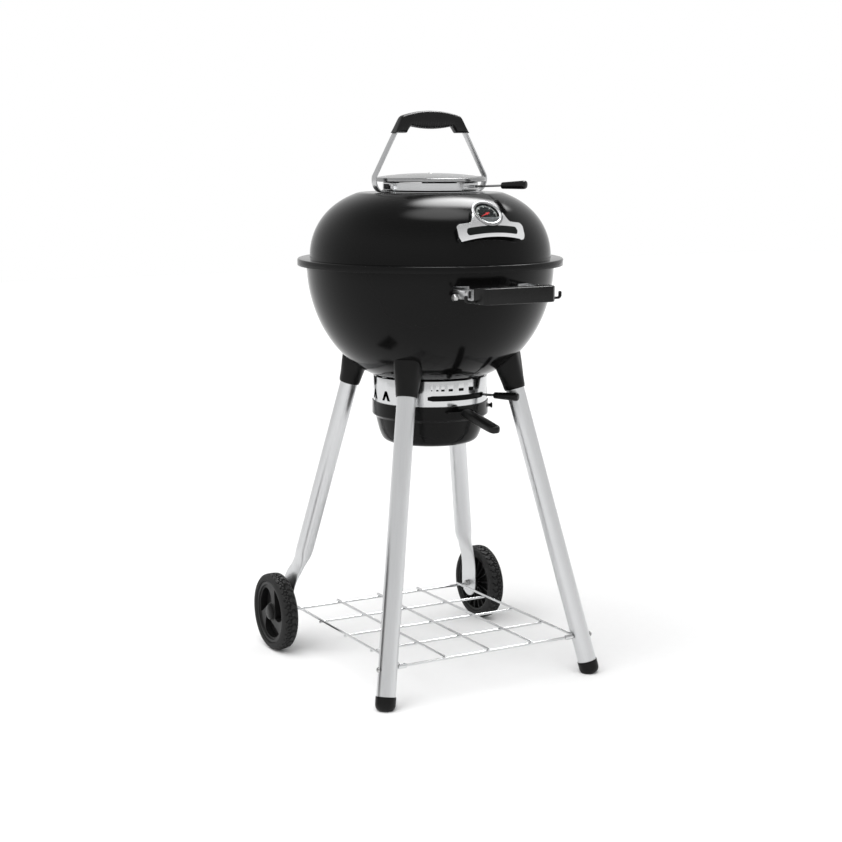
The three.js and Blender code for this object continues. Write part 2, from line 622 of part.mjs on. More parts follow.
// Rear leg: a round tube whose lower end is pressed flat and bent upright for the wheel's axle bolt.
function rearLeg(sx) {
  const geometry = new THREE.CylinderGeometry(1, 1, 1, SIDES.tube, 12, false);
  const position = geometry.getAttribute("position");
  const low = WHEEL.r - 26;
  const knee = PRESSED.z[1] + 5;
  const high = LEG.top - 6;
  for (let i = 0; i < position.count; i += 1) {
    const k = position.getY(i) + 0.5;
    const z = k < 0.75 ? low + (knee - low) * (k / 0.75) : knee + (high - knee) * ((k - 0.75) / 0.25);
    const flat = 1 - THREE.MathUtils.smoothstep(z, ...PRESSED.z);
    const down = Math.max(-1, Math.min(1, (z - WHEEL.r) / PRESSED.half));
    const tip = z < WHEEL.r ? Math.sqrt(Math.max(1 - down * down, 0.05)) : 1;
    const wide = THREE.MathUtils.lerp(LEG.r, PRESSED.half, flat) * tip;
    const thick = THREE.MathUtils.lerp(LEG.r, TAB.thick / 2, flat);
    const axis = legPoint(1, 1, z);
    const bend = 1 - THREE.MathUtils.smoothstep(z, ...PRESSED.bend);
    const x = THREE.MathUtils.lerp(axis[0], TAB.x, bend);
    const y = THREE.MathUtils.lerp(axis[1], WHEEL.y, bend);
    const radial = Math.hypot(position.getX(i), position.getZ(i));
    const px = radial > 0.5 ? position.getX(i) : 0;
    const py = radial > 0.5 ? -position.getZ(i) : 0;
    const squared = flat > 0.5 ? Math.sign(px) * Math.abs(px) ** 0.45 : px;
    position.setXYZ(i, x + squared * thick, y + py * wide, z);
  }
  const solid = toSolid(geometry);
  const boreR = LEG.r - LEG.wall;
  const bore = bar(legPoint(1, 1, 212), legPoint(1, 1, LEG.top + 20), boreR, boreR, SIDES.tube);
  const axle = bar([190, WHEEL.y, WHEEL.r], [225, WHEEL.y, WHEEL.r], 5.3, 5.3, SIDES.tube);
  const rod = bar([190, SHELF.y[1], SHELF.zCross], [225, SHELF.y[1], SHELF.zCross], 2.9);
  const body = cut(solid, bore, axle, rod);
  return sx > 0 ? body : mirrored(body);
}

function socket(sx, sy) {
  const [z0, z1] = SOCKET.z;
  const outer = bar(legPoint(sx, sy, z0), legPoint(sx, sy, z1), SOCKET.r[0], SOCKET.r[1], SIDES.tube);
  const boreR = (LEG.r + GAP) / (sy > 0 ? Math.cos(Math.PI / SIDES.tube) : 1);
  const bore = bar(legPoint(sx, sy, z0 - 10), legPoint(sx, sy, LEG.top + 0.6), boreR, boreR, SIDES.tube);
  return cut(outer, bowlSolid(GAP), bore);
}

// A round-nosed cap along the leg's axis, worn flat where it stands on the floor.
function foot(sx) {
  const profile = [
    [0, -2], [9, -2], [14, 0], [17, 4], [FOOT.r, 9], [FOOT.r, FOOT.height], [0, FOOT.height],
  ];
  const origin = new THREE.Vector3(...legPoint(sx, -1, 0));
  const axis = new THREE.Vector3(...legPoint(sx, -1, 1)).sub(origin).normalize();
  const lean = new THREE.Matrix4()
    .makeRotationFromQuaternion(new THREE.Quaternion().setFromUnitVectors(new THREE.Vector3(0, 0, 1), axis))
    .setPosition(origin);
  const bore = bar(legPoint(sx, -1, FOOT.floor), legPoint(sx, -1, 100), LEG.r + GAP, LEG.r + GAP, SIDES.tube);
  const below = box(origin.x - 50, origin.x + 50, origin.y - 50, origin.y + 50, -50, 0);
  return cut(moved(lathe(profile, 16), lean), bore, below);
}

// ---------------------------------------------------------------- wheels
// Drawn about the axle, which is +X here and points away from the grill.
const alongX = (solid) => moved(solid, new THREE.Matrix4().makeRotationY(Math.PI / 2));

function tyre() {
  const w = WHEEL.width / 2;
  const profile = [
    [WHEEL.hubR + GAP, -w + 3], [67, -w], [72.5, -w + 2.5], [WHEEL.r, -w + 8],
    [WHEEL.r, w - 8], [72.5, w - 2.5], [67, w], [WHEEL.hubR + GAP, w - 3],
  ];
  return alongX(lathe(profile));
}

function hub() {
  const r = WHEEL.hubR;
  const profile = [
    [5.35, -13], [13, -13], [13, -3], [r - 5, -3], [r - 5, -13.5], [r, -13.5], [r, 13.5],
    [r - 6, 13.5], [r - 6.5, 7], [16, 7], [16, 11], [5.35, 11],
  ];
  // a swept window between two blades, as [radius, angle] points
  const swept = [
    [50.5, 73], [52, 48], [52, 20], [51, 0], [45, -12], [36, -22], [27, -30], [19.5, -34],
    [18.5, 0], [20, 30], [27, 54], [38, 68],
  ];
  const outline = swept.map(([d, a]) => [-d * Math.sin(rad(a)), d * Math.cos(rad(a))]);
  const windows = [0, 120, 240].map((a) => turned(plateXY(outline, 40, -20), a));
  return alongX(cut(lathe(profile), ...windows));
}

function hubCap() {
  const profile = [
    [0, 12.6], [11.2, 12.6], [11.2, 11.3], [15.8, 11.3], [15, 14.5], [11, 17.2], [5, 18.4], [0, 18.6],
  ];
  return alongX(lathe(profile, SIDES.tube));
}

const axleBolt = () => bar([197 - WHEEL.x, 0, 0], [12.2, 0, 0], 5, 5, SIDES.tube);

function axleNut() {
  const face = TAB.x - TAB.thick / 2 - GAP - WHEEL.x;
  const hole = bar([-50, 0, 0], [50, 0, 0], 5.3, 5.3, SIDES.tube);
  return cut(bar([face - 5, 0, 0], [face, 0, 0], 6.5, 6.5, 6), hole);
}

// ---------------------------------------------------------------- wire shelf
const shelfBoltShank = (sx, r) => bar(
  [sx * 174, SHELF.y[0], SHELF.zCross],
  [sx * 226, SHELF.y[0], SHELF.zCross],
  r,
);

function wireShelf() {
  const { rod, half, y, zTop, zCross, bars } = SHELF;
  const wires = [];
  for (let i = 0; i < bars; i += 1) {
    const x = -half + i * half * 2 / (bars - 1);
    const over = i === 0 || i === bars - 1 ? 0 : 6;
    wires.push(bar([x, y[0] - over, zTop], [x, y[1] + over, zTop], rod, rod, 6));
    const cross = y[0] + i * (y[1] - y[0]) / (bars - 1);
    const reach = i === 0 ? 183 : i === bars - 1 ? TAB.x + 3 : half + 2;
    wires.push(bar([-reach, cross, zCross], [reach, cross, zCross], rod, rod, 6));
  }
  for (const s of [-1, 1]) wires.push(bar([s * 168, y[0], zCross], [s * 185, y[0], zCross], 4.6));
  const holes = [-1, 1].map((s) => shelfBoltShank(s, 2.8));
  return cut(union(...wires), ...holes);
}

function shelfBolt(sx) {
  const leg = legPoint(sx, -1, SHELF.zCross);
  const x = Math.abs(leg[0]) + LEG.r + 1.6;
  const y = SHELF.y[0];
  const z = SHELF.zCross;
  return union(
    bar([sx * 176, y, z], [sx * (x + 1), y, z], 2.5),
    bar([sx * x, y, z], [sx * (x + 4), y, z], 5, 4, 12),
  );
}

// ---------------------------------------------------------------- assembly
put("lid_shell", lidShell(), "enamel");
put("lid_vent_collar", ventCollar(), "satinSteel");
put("lid_damper_ring", damperRing(), "satinSteel");
put("lid_damper_rod", bar(...leverRod(), 2, 2, 10), "zinc");
put("lid_damper_grip", topGrip(), "resin");
put("lid_vent_cap", ventCap(), "polished");
put("lid_handle_strap", lidStrap(), "satinSteel");
put("lid_handle_grip", lidGrip(), "resin");
put("lid_handle_bolt_left", lidBolt(-1), "zinc");
put("lid_handle_bolt_right", lidBolt(1), "zinc");
put("thermometer_case", gaugeCase(), "polished");
put("thermometer_dial", gaugeDial(), "dial");
put("thermometer_pointer", gaugePointer(), "pointer");
put("thermometer_lens", gaugeLens(), "glass");
put("thermometer_nut", gaugeNut(), "zinc");
put("badge_plate", badgePlate(), "polished");

put("bowl_shell", bowlShell(), "enamel");
put("cooking_grate", grate(COOK, 2, 2), "chromeWire");
put("charcoal_grate", grate(COAL, 2, 2.6), "zinc");
for (const [i, azimuth] of [90, 210, 330].entries()) put(`grate_tab_${i + 1}`, grateTab(azimuth), "zinc");
put("bowl_vent_ring", ventRing(), "satinSteel");
put("bowl_damper_sleeve", damperSleeve(), "satinSteel");
put("bowl_damper_rod", lowRod(170, 2.4), "zinc");
put("bowl_damper_grip", lowGrip(), "resin");
put("ash_pan", ashPan(), "enamel");
put("ash_pan_bracket", panBracket(), "enamel");
put("ash_pan_grip", panGrip(), "resin");
for (const [i, azimuth] of [60, 180, 300].entries()) put(`ash_pan_knob_${i + 1}`, panKnob(azimuth), "resin");

put("front_handle_bar", frontBar(), "resin");
for (const [side, s] of [["left", -1], ["right", 1]]) {
  put(`front_handle_bracket_${side}`, handleBracket(s), "satinSteel");
  put(`front_handle_bolt_${side}`, bracketBolt(s), "zinc");
  put(`leg_socket_front_${side}`, socket(s, -1), "resin");
  put(`leg_socket_rear_${side}`, socket(s, 1), "resin");
  put(`leg_front_${side}`, frontLeg(s), "aluminium");
  put(`leg_rear_${side}`, rearLeg(s), "aluminium");
  put(`foot_${side}`, foot(s), "resin");
  put(`shelf_bolt_${side}`, shelfBolt(s), "zinc");

  const wheel = new THREE.Group();
  wheel.position.set(s * WHEEL.x, WHEEL.y, WHEEL.r);
  wheel.rotation.z = s > 0 ? 0 : Math.PI;
  grill.add(wheel);
  put(`tyre_${side}`, tyre(), "rubber", wheel);
  put(`hub_${side}`, hub(), "resin", wheel);
  put(`hub_cap_${side}`, hubCap(), "resin", wheel);
  put(`axle_bolt_${side}`, axleBolt(), "zinc", wheel);
  put(`axle_nut_${side}`, axleNut(), "zinc", wheel);
}
put("wire_shelf", wireShelf(), "chromeWire");

export default grill;
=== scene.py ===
"""Kettle charcoal grill: the looks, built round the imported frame. Metres, +Z up, front towards -Y."""
import math

import bmesh
import bpy
from mathutils import Matrix, Vector


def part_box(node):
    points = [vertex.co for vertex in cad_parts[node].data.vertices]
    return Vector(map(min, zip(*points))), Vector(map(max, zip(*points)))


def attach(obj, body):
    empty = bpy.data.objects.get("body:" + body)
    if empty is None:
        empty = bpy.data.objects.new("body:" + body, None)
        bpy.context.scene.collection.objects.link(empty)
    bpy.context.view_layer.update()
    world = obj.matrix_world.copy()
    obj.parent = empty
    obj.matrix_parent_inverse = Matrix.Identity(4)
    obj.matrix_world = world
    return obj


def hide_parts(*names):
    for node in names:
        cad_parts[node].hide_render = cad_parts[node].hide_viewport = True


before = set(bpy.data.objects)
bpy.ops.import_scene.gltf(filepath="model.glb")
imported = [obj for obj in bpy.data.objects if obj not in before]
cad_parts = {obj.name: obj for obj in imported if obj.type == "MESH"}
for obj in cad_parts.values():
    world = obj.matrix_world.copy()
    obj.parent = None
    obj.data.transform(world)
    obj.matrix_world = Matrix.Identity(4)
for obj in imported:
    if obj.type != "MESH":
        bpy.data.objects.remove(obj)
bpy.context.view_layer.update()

MM = 0.001
LOW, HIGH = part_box("bowl_shell")
AXIS_Y = (LOW[1] + HIGH[1]) / 2  # the kettle's axis, in metres
SMOOTH = 150  # facets round a turned piece, unless it gives its own number
SIDES = ((-1, "left"), (1, "right"))

# driving sizes in mm, from the kettle's axis and the floor
SHEET = 1.6
RIM_Z = 754.3  # where the bowl's curve starts
BOWL_R = 227.95
VENT_R = 74  # the lid's opening
STRAP_X = 95.5  # the handle's bolts
AIR_Z = 519.5  # the lower lever and its slot
AIR_HOLES = [56 + 22.5 * i for i in range(12)]  # azimuths of the chevrons
VENT_WINDOWS = (-102, 98, 178)  # azimuths of the holes in the lid's vent
LEG_R, LEG_WALL = 17.2, 1.5
SHELF_FRONT, SHELF_BACK, SHELF_Z = -211.8, 207.8, 70.6  # y of the end wires, and the cross wires' height
WHEEL = (232, 200, 75)  # the right wheel's centre
TREAD = 34  # pitches round the tyre


# ---------------------------------------------------------------- mesh helpers (kettle axis at x = y = 0, mm)
def place(point):
    return Vector((point[0] * MM, point[1] * MM + AXIS_Y, point[2] * MM))


def make(name, verts, faces, crease=32):
    mesh = bpy.data.meshes.new(name)
    mesh.from_pydata([place(v) for v in verts], [], faces)
    mesh.validate()
    obj = bpy.data.objects.new(name, mesh)
    bpy.context.scene.collection.objects.link(obj)
    shade(obj, crease)
    return obj


def shade(obj, crease=32):
    mesh = obj.data
    mesh.polygons.foreach_set("use_smooth", [True] * len(mesh.polygons))
    mesh.set_sharp_from_angle(angle=math.radians(crease))
    mesh.update()


def fillet(points, radius, steps=3, closed=True):
    """Rounds the corners of a polyline; radius is a number or one number a point."""
    count = len(points)
    out = []
    for i, p in enumerate(points):
        size = radius[i] if isinstance(radius, (list, tuple)) else radius
        if size <= 0 or (not closed and i in (0, count - 1)):
            out.append(tuple(p))
            continue
        here = Vector(p)
        before = Vector(points[i - 1]) - here
        after = Vector(points[(i + 1) % count]) - here
        reach = min(size, before.length * 0.48, after.length * 0.48)
        a = here + before.normalized() * reach
        b = here + after.normalized() * reach
        for k in range(steps + 1):
            t = k / steps
            out.append(tuple(a * (1 - t) ** 2 + here * (2 * t * (1 - t)) + b * t ** 2))
    return out


def circle(sides):
    """The cosine and sine of evenly spaced angles."""
    angles = [2 * math.pi * k / sides for k in range(sides)]
    return [(math.cos(a), math.sin(a)) for a in angles]


def skin(verts, sides, ring=False):
    """Joins rows of points, each of sides points, into a tube with flat ends, or into a closed ring."""
    last = len(verts) - sides
    faces = []
    for a in range(0, len(verts) if ring else last, sides):
        b = (a + sides) % len(verts)
        for k in range(sides):
            j = (k + 1) % sides
            faces.append([a + k, a + j, b + j, b + k])
    if not ring:
        faces.append(list(reversed(range(sides))))
        faces.append([last + k for k in range(sides)])
    return verts, faces


def lathe_data(profile, segments=SMOOTH):
    """A profile of (r, z) points turned about Z. It closes on itself unless both ends are on the axis."""
    verts, faces, rows = [], [], []
    for r, z in profile:
        if r < 1e-6:
            rows.append([len(verts)] * segments)
            verts.append((0, 0, z))
            continue
        rows.append(list(range(len(verts), len(verts) + segments)))
        verts.extend((r * c, r * s, z) for c, s in circle(segments))
    open_ends = profile[0][0] < 1e-6 and profile[-1][0] < 1e-6
    for i in range(len(rows) - 1 if open_ends else len(rows)):
        low, up = rows[i], rows[(i + 1) % len(rows)]
        for k in range(segments):
            j = (k + 1) % segments
            face = list(dict.fromkeys((low[k], low[j], up[j], up[k])))
            if len(face) > 2:
                faces.append(face)
    area = sum(r0 * z1 - r1 * z0 for (r0, z0), (r1, z1) in zip(profile, profile[1:] + profile[:1]))
    if area < 0:
        faces = [f[::-1] for f in faces]
    return verts, faces


def lathe(name, profile, segments=SMOOTH, crease=32):
    return make(name, *lathe_data(profile, segments), crease)


def tube_data(path, radius, sides=16, closed=False):
    """A round rod along a path; radius is a number or one number a point."""
    points = [Vector(p) for p in path]
    count = len(points)
    verts, normal = [], None
    for i, p in enumerate(points):
        before = points[i - 1] if (closed or i > 0) else p
        after = points[(i + 1) % count] if (closed or i < count - 1) else p
        along = (after - before).normalized()
        if normal is None:
            normal = along.orthogonal().normalized()
        normal = (normal - along * normal.dot(along)).normalized()
        side = along.cross(normal)
        size = radius[i] if isinstance(radius, (list, tuple)) else radius
        verts.extend(tuple(p + normal * (size * c) + side * (size * s)) for c, s in circle(sides))
    return skin(verts, sides, closed)


def rod_data(a, b, radius, sides):
    """A straight rod whose ends are slightly rounded."""
    a, b, trim = Vector(a), Vector(b), 0.6
    step = (b - a).normalized() * trim
    path = [a, a + step * 0.3, a + step, b - step, b - step * 0.3, b]
    slim, mid = radius - trim, radius - trim * 0.3
    return tube_data(path, [slim, mid, radius, radius, mid, slim], sides)


def joined(parts):
    """Several (verts, faces) as one."""
    verts, faces = [], []
    for v, f in parts:
        base = len(verts)
        verts.extend(v)
        faces.extend([[i + base for i in face] for face in f])
    return verts, faces


def moved(data, matrix):
    verts, faces = data
    return [tuple(matrix @ Vector(v)) for v in verts], faces


def sided(data, s):
    """The data as it is on the right, mirrored on the left."""
    verts, faces = data
    return data if s > 0 else ([(-x, y, z) for x, y, z in verts], [f[::-1] for f in faces])


def slab_data(outline, z0, z1):
    """An outline of (x, y) points, counter-clockwise, between two heights."""
    n = len(outline)
    verts = [(x, y, z0) for x, y in outline] + [(x, y, z1) for x, y in outline]
    faces = [list(reversed(range(n))), list(range(n, 2 * n))]
    for i in range(n):
        j = (i + 1) % n
        faces.append([i, j, n + j, n + i])
    return verts, faces


XZ = Matrix(((1, 0, 0, 0), (0, 0, -1, 0), (0, 1, 0, 0), (0, 0, 0, 1)))  # slab's (x, y, z) to (x, -z, y)


def box_data(x0, x1, y0, y1, z0, z1):
    return slab_data([(x0, y0), (x1, y0), (x1, y1), (x0, y1)], z0, z1)


def polar(azimuth, r, z=0.0):
    a = math.radians(azimuth)
    return (r * math.sin(a), -r * math.cos(a), z)


def signed_power(value, exponent):
    return math.copysign(abs(value) ** exponent, value)


def smooth(x, a, b):
    t = max(0.0, min(1.0, (x - a) / (b - a)))
    return t * t * (3 - 2 * t)


def mix(a, b, t):
    return a + (b - a) * t


def solid(name, data, crease=32):
    """A closed piece whose faces all look outwards."""
    obj = make(name, *data, crease)
    bm = bmesh.new()
    bm.from_mesh(obj.data)
    bmesh.ops.recalc_face_normals(bm, faces=bm.faces)
    bm.to_mesh(obj.data)
    bm.free()
    return obj


def apply(obj, crease=32):
    graph = bpy.context.evaluated_depsgraph_get()
    mesh = bpy.data.meshes.new_from_object(obj.evaluated_get(graph))
    obj.modifiers.clear()
    old = obj.data
    obj.data = mesh
    bpy.data.meshes.remove(old)
    shade(obj, crease)
    return obj


def bevel(obj, width, segments=3, angle=30, crease=32):
    m = obj.modifiers.new("bevel", "BEVEL")
    m.width = width * MM
    m.segments = segments
    m.limit_method = "ANGLE"
    m.angle_limit = math.radians(angle)
    return apply(obj, crease)


def boolean(obj, data, operation="DIFFERENCE", crease=32):
    tool = solid("tool", data)
    m = obj.modifiers.new("cut", "BOOLEAN")
    m.operation = operation
    m.solver = "EXACT"
    m.object = tool
    apply(obj, crease)
    bpy.data.objects.remove(tool)
    return obj


# ---------------------------------------------------------------- node materials
class Tree:
    """A short way to write a node tree."""

    def __init__(self, tree):
        self.tree = tree
        self.tree.nodes.clear()

    def add(self, kind, **props):
        node = self.tree.nodes.new(kind)
        for key, value in props.items():
            setattr(node, key, value)
        return node

    def link(self, a, b):
        self.tree.links.new(a, b)

    def put(self, node, **values):
        """Sets or links inputs; a keyword is the input's name with _ for a space, or i and its number."""
        for key, value in values.items():
            number = key[1:] if key[0] == "i" else ""
            socket = node.inputs[int(number) if number.isdigit() else key.replace("_", " ")]
            if isinstance(value, bpy.types.NodeSocket):
                self.link(value, socket)
            else:
                socket.default_value = value
        return node

    def math(self, op, a, b=0.0, c=0.5):
        return self.put(self.add("ShaderNodeMath", operation=op), i0=a, i1=b, i2=c).outputs[0]

    def span(self, value, low, high, start=0.3, end=0.7, kind="LINEAR"):
        """The value's start to end stretched to low to high."""
        node = self.add("ShaderNodeMapRange", interpolation_type=kind)
        return self.put(node, Value=value, From_Min=start, From_Max=end, To_Min=low,
                        To_Max=high).outputs["Result"]


class Nodes(Tree):
    """A material and its node tree."""

    def __init__(self, name):
        self.mat = bpy.data.materials.new(name)
        self.mat.use_nodes = True
        super().__init__(self.mat.node_tree)
        self.shader = self.add("ShaderNodeBsdfPrincipled")
        self.link(self.shader.outputs[0], self.add("ShaderNodeOutputMaterial").inputs[0])
        self.coords = self.add("ShaderNodeTexCoord").outputs["Object"]

    def mapping(self, scale):
        return self.put(self.add("ShaderNodeMapping"), Vector=self.coords, Scale=scale).outputs[0]

    def turned(self, ring, spread):
        """Coordinates nearly constant round the kettle's axis, for marks left by spinning."""
        split = self.put(self.add("ShaderNodeSeparateXYZ"), i0=self.coords)
        dx = split.outputs[0]
        dy = self.math("SUBTRACT", split.outputs[1], AXIS_Y)
        r = self.math("SQRT", self.math("ADD", self.math("MULTIPLY", dx, dx), self.math("MULTIPLY", dy, dy)))
        angle = self.math("ARCTAN2", dy, dx)
        join = self.put(self.add("ShaderNodeCombineXYZ"), i0=self.math("MULTIPLY", r, ring),
                        i1=self.math("MULTIPLY", angle, spread),
                        i2=self.math("MULTIPLY", split.outputs[2], ring))
        return join.outputs[0]

    def noise(self, scale, vector=None, detail=3.0, rough=0.5):
        node = self.add("ShaderNodeTexNoise")
        self.put(node, Vector=vector or self.coords, Scale=scale, Detail=detail, Roughness=rough)
        return node.outputs["Fac"]

    def spots(self, scale):
        return self.put(self.add("ShaderNodeTexVoronoi"), Vector=self.coords, Scale=scale).outputs["Distance"]

    def blend(self, fac, a, b):
        return self.put(self.add("ShaderNodeMix", data_type="RGBA"), Factor=fac, A=a, B=b).outputs["Result"]

    def bump(self, height, strength, distance, normal=None):
        node = self.put(self.add("ShaderNodeBump"), Height=height, Strength=strength, Distance=distance)
        if normal:
            self.put(node, Normal=normal)
        return node.outputs["Normal"]

    def set(self, **values):
        names = {"color": "Base_Color", "metal": "Metallic", "rough": "Roughness", "normal": "Normal",
                 "ior": "IOR", "spec": "Specular_IOR_Level", "transmission": "Transmission_Weight"}
        self.put(self.shader, **{names[key]: value for key, value in values.items()})
        return self.mat


def grey(level, tint=0.0):
    return (level * (1 - tint), level, level * (1 + tint), 1.0)


def enamel():
    n = Nodes("enamel_black")
    peel = n.noise(260.0, detail=2.0)
    wave = n.noise(9.0, detail=1.0)
    cloud = n.noise(5.0, detail=4.0)
    speck = n.span(n.spots(420.0), 1.0, 0.0, 0.02, 0.12)
    normal = n.bump(peel, 0.06, 0.0004)
    normal = n.bump(wave, 0.05, 0.004, normal)
    color = n.blend(n.math("MULTIPLY", speck, 0.35), n.blend(cloud, grey(0.0028), grey(0.0042)), grey(0.012))
    return n.set(color=color, rough=n.span(cloud, 0.1, 0.16), ior=1.22, normal=normal)


def brushed(name, level, rough, scale=None, strength=0.12):
    """Steel or aluminium with fine lines along the scale's small axes, or round the kettle with no scale."""
    n = Nodes(name)
    line = n.noise(1.0, n.mapping(scale) if scale else n.turned(1500.0, 1.2), detail=6.0, rough=0.65)
    broad = n.noise(14.0, detail=3.0)
    color = n.blend(n.span(line, 0.0, 1.0), grey(level * 0.95, 0.01), grey(min(level * 1.04, 0.95), 0.01))
    color = n.blend(n.span(broad, 0.0, 0.12), color, grey(level * 0.85, 0.01))
    roughness = n.math("ADD", n.span(line, rough * 0.88, rough * 1.12), n.span(broad, -0.01, 0.02))
    return n.set(color=color, metal=1.0, rough=roughness, normal=n.bump(line, strength, 0.0002))


def polished(name, level, rough, spun=False):
    n = Nodes(name)
    fine = n.noise(900.0, detail=3.0)
    smudge = n.noise(22.0, detail=5.0)
    roughness = n.math("ADD", n.span(smudge, rough * 0.7, rough * 1.6), n.span(fine, 0.0, 0.03))
    normal = n.bump(fine, 0.03, 0.0001)
    if spun:
        normal = n.bump(n.noise(1.0, n.turned(900.0, 0.4), detail=4.0), 0.05, 0.0001, normal)
    color = n.blend(n.span(smudge, 0.0, 0.5), grey(level, 0.008), grey(level * 0.9, 0.01))
    return n.set(color=color, metal=1.0, rough=roughness, normal=normal)


def resin(name, level, rough, grain=900.0, strength=0.12, spec=0.3):
    n = Nodes(name)
    fine = n.noise(grain, detail=3.0)
    broad = n.noise(18.0, detail=4.0)
    color = n.blend(n.span(broad, 0.0, 1.0), grey(level * 0.85), grey(level * 1.2))
    roughness = n.math("ADD", n.span(broad, rough - 0.05, rough + 0.06), n.span(fine, -0.03, 0.04))
    return n.set(color=color, rough=roughness, spec=spec, normal=n.bump(fine, strength, 0.0003))


def rubber():
    n = Nodes("rubber_tyre")
    fine = n.noise(700.0, detail=4.0)
    broad = n.noise(25.0, detail=5.0)
    color = n.blend(n.span(broad, 0.0, 1.0), grey(0.010), grey(0.017))
    color = n.blend(n.span(fine, 0.0, 0.2), color, grey(0.03))
    return n.set(color=color, rough=n.span(broad, 0.72, 0.88), spec=0.35, normal=n.bump(fine, 0.25, 0.0004))


def zinc():
    n = Nodes("zinc_plated")
    cell = n.spots(300.0)
    broad = n.noise(40.0, detail=4.0)
    color = n.blend(n.span(broad, 0.0, 1.0), (0.42, 0.42, 0.42, 1.0), (0.55, 0.55, 0.54, 1.0))
    return n.set(color=color, metal=1.0, rough=n.span(broad, 0.28, 0.42), normal=n.bump(cell, 0.06, 0.0002))


def wire():
    n = Nodes("chrome_wire")
    fine = n.noise(600.0, detail=3.0)
    broad = n.noise(30.0, detail=4.0)
    color = n.blend(n.span(broad, 0.0, 1.0), grey(0.62, 0.01), grey(0.74, 0.01))
    return n.set(color=color, metal=1.0, rough=n.span(broad, 0.12, 0.24), normal=n.bump(fine, 0.05, 0.0002))


def painted(name, color, dark, rough):
    n = Nodes(name)
    fine = n.noise(800.0, detail=3.0)
    broad = n.noise(120.0, detail=3.0)
    color = n.blend(n.span(broad, 0.0, 1.0), dark, color)
    roughness = n.span(broad, rough * 0.85, rough * 1.15)
    return n.set(color=color, rough=roughness, spec=0.08, normal=n.bump(fine, 0.08, 0.0001))


def glass():
    n = Nodes("clear_lens")
    smudge = n.noise(60.0, detail=4.0)
    roughness = n.span(smudge, 0.02, 0.07)
    return n.set(color=(0.93, 0.96, 0.96, 1.0), rough=roughness, transmission=1.0, ior=1.1,
                 normal=n.bump(smudge, 0.01, 0.0002))


LOOK = {  # the slot and the material of each look
    "enamel": ("enamel", enamel()),
    "ring": ("satin_steel", brushed("steel_ring", 0.6, 0.13, strength=0.04)),
    # steel darkened nearly to black: painted shade for the drums seen through the windows, the chevrons and
    # the groove under the sleeve
    "painted_shade_sleeve": ("satin_steel", brushed("steel_sleeve_painted_shade", 0.008, 0.4, strength=0.03)),
    "sleeve": ("satin_steel", brushed("steel_sleeve", 0.62, 0.22, strength=0.03)),
    "strap": ("satin_steel", brushed("steel_strap", 0.5, 0.3, (25, 500, 25), 0.03)),
    "plate": ("satin_steel", brushed("steel_plate", 0.62, 0.28, (1300, 30, 1300), 0.04)),
    "cap": ("polished", polished("chrome_cap", 0.31, 0.12, spun=True)),
    "bezel": ("polished", polished("chrome_bezel", 0.38, 0.07)),
    "badge": ("polished", polished("chrome_badge", 0.93, 0.12)),
    "leg": ("aluminium", brushed("aluminium_leg", 0.66, 0.33, (1500, 1500, 12), 0.06)),
    "wire": ("chrome_wire", wire()),
    "zinc": ("zinc", zinc()),
    "resin": ("resin", resin("resin_black", 0.0045, 0.38, spec=0.16)),
    "grip": ("resin", resin("resin_grip", 0.0045, 0.28, grain=1200.0, strength=0.05, spec=0.22)),
    "hub": ("resin", resin("resin_hub", 0.007, 0.4, spec=0.25)),
    "rubber": ("rubber", rubber()),
    "dial": ("dial", painted("dial_black", (0.008, 0.0095, 0.009, 1), (0.005, 0.006, 0.006, 1), 0.6)),
    "marks": ("dial", painted("dial_marks", (0.8, 0.8, 0.78, 1), (0.7, 0.7, 0.68, 1), 0.5)),
    "needle": ("pointer", painted("needle_red", (0.6, 0.02, 0.02, 1), (0.45, 0.012, 0.014, 1), 0.4)),
    "lens": ("glass", glass()),
}


def finish_piece(obj, look, body, *nodes):
    slot, material = LOOK[look]
    obj.data.materials.clear()
    obj.data.materials.append(material)
    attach(obj, body)
    if nodes:
        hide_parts(*nodes)


def keep_node(node, look):
    """A CAD node whose own shape stays, with a finished material."""
    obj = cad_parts[node]
    for slot in obj.material_slots:
        slot.material = LOOK[look][1]


# ---------------------------------------------------------------- profiles shared by lid and bowl
LID_TURN = math.radians(60.7)
BOWL_TURN = math.radians(73.9)


def lid_curve(grow):
    """The dome's (r, z) points from its foot to the vent opening."""
    pts, count = [], 44
    for i in range(count):
        t = LID_TURN * i / (count - 1)
        r = (222.06 + grow) * math.cos(t) ** (2 / 3.061)
        z = 770.1 + (130.72 + grow) * math.sin(t) ** (2 / 2.058)
        pts.append((r, z))
    r0, z0 = pts[-1]
    deck = 887.5 + grow
    for k in range(1, 7):
        u = k / 6
        r = (1 - u) ** 2 * r0 + 2 * u * (1 - u) * (r0 - 6.2) + u * u * 125.5
        z = (1 - u) ** 2 * z0 + 2 * u * (1 - u) * (deck - 0.1) + u * u * deck
        pts.append((r, z))
    pts.append((VENT_R, deck))
    return pts


def bowl_curve(grow):
    """The bowl's (r, z) points from its rim to the bottom opening."""
    pts, count = [], 60
    for i in range(count):
        t = BOWL_TURN * i / (count - 1)
        r = (BOWL_R + grow) * math.cos(t) ** (2 / 2.621)
        z = RIM_Z - (217.4 + grow) * math.sin(t) ** (2 / 1.865)
        pts.append((r, z))
    return pts


def bowl_solid(grow):
    """All that is inside the bowl's grown outside, as a cutter."""
    curve = [(r + grow, z) for r, z in reversed(bowl_curve(0))]
    return lathe_data([(0, curve[0][1] - 0.01)] + curve + [(BOWL_R + grow, 800), (0, 800)], 180)


def radius_at(curve, z):
    """The curve's radius at a height."""
    for (r0, z0), (r1, z1) in zip(curve, curve[1:]):
        if min(z0, z1) <= z <= max(z0, z1) and z0 != z1:
            return r0 + (r1 - r0) * (z - z0) / (z1 - z0)
    return curve[0][0]


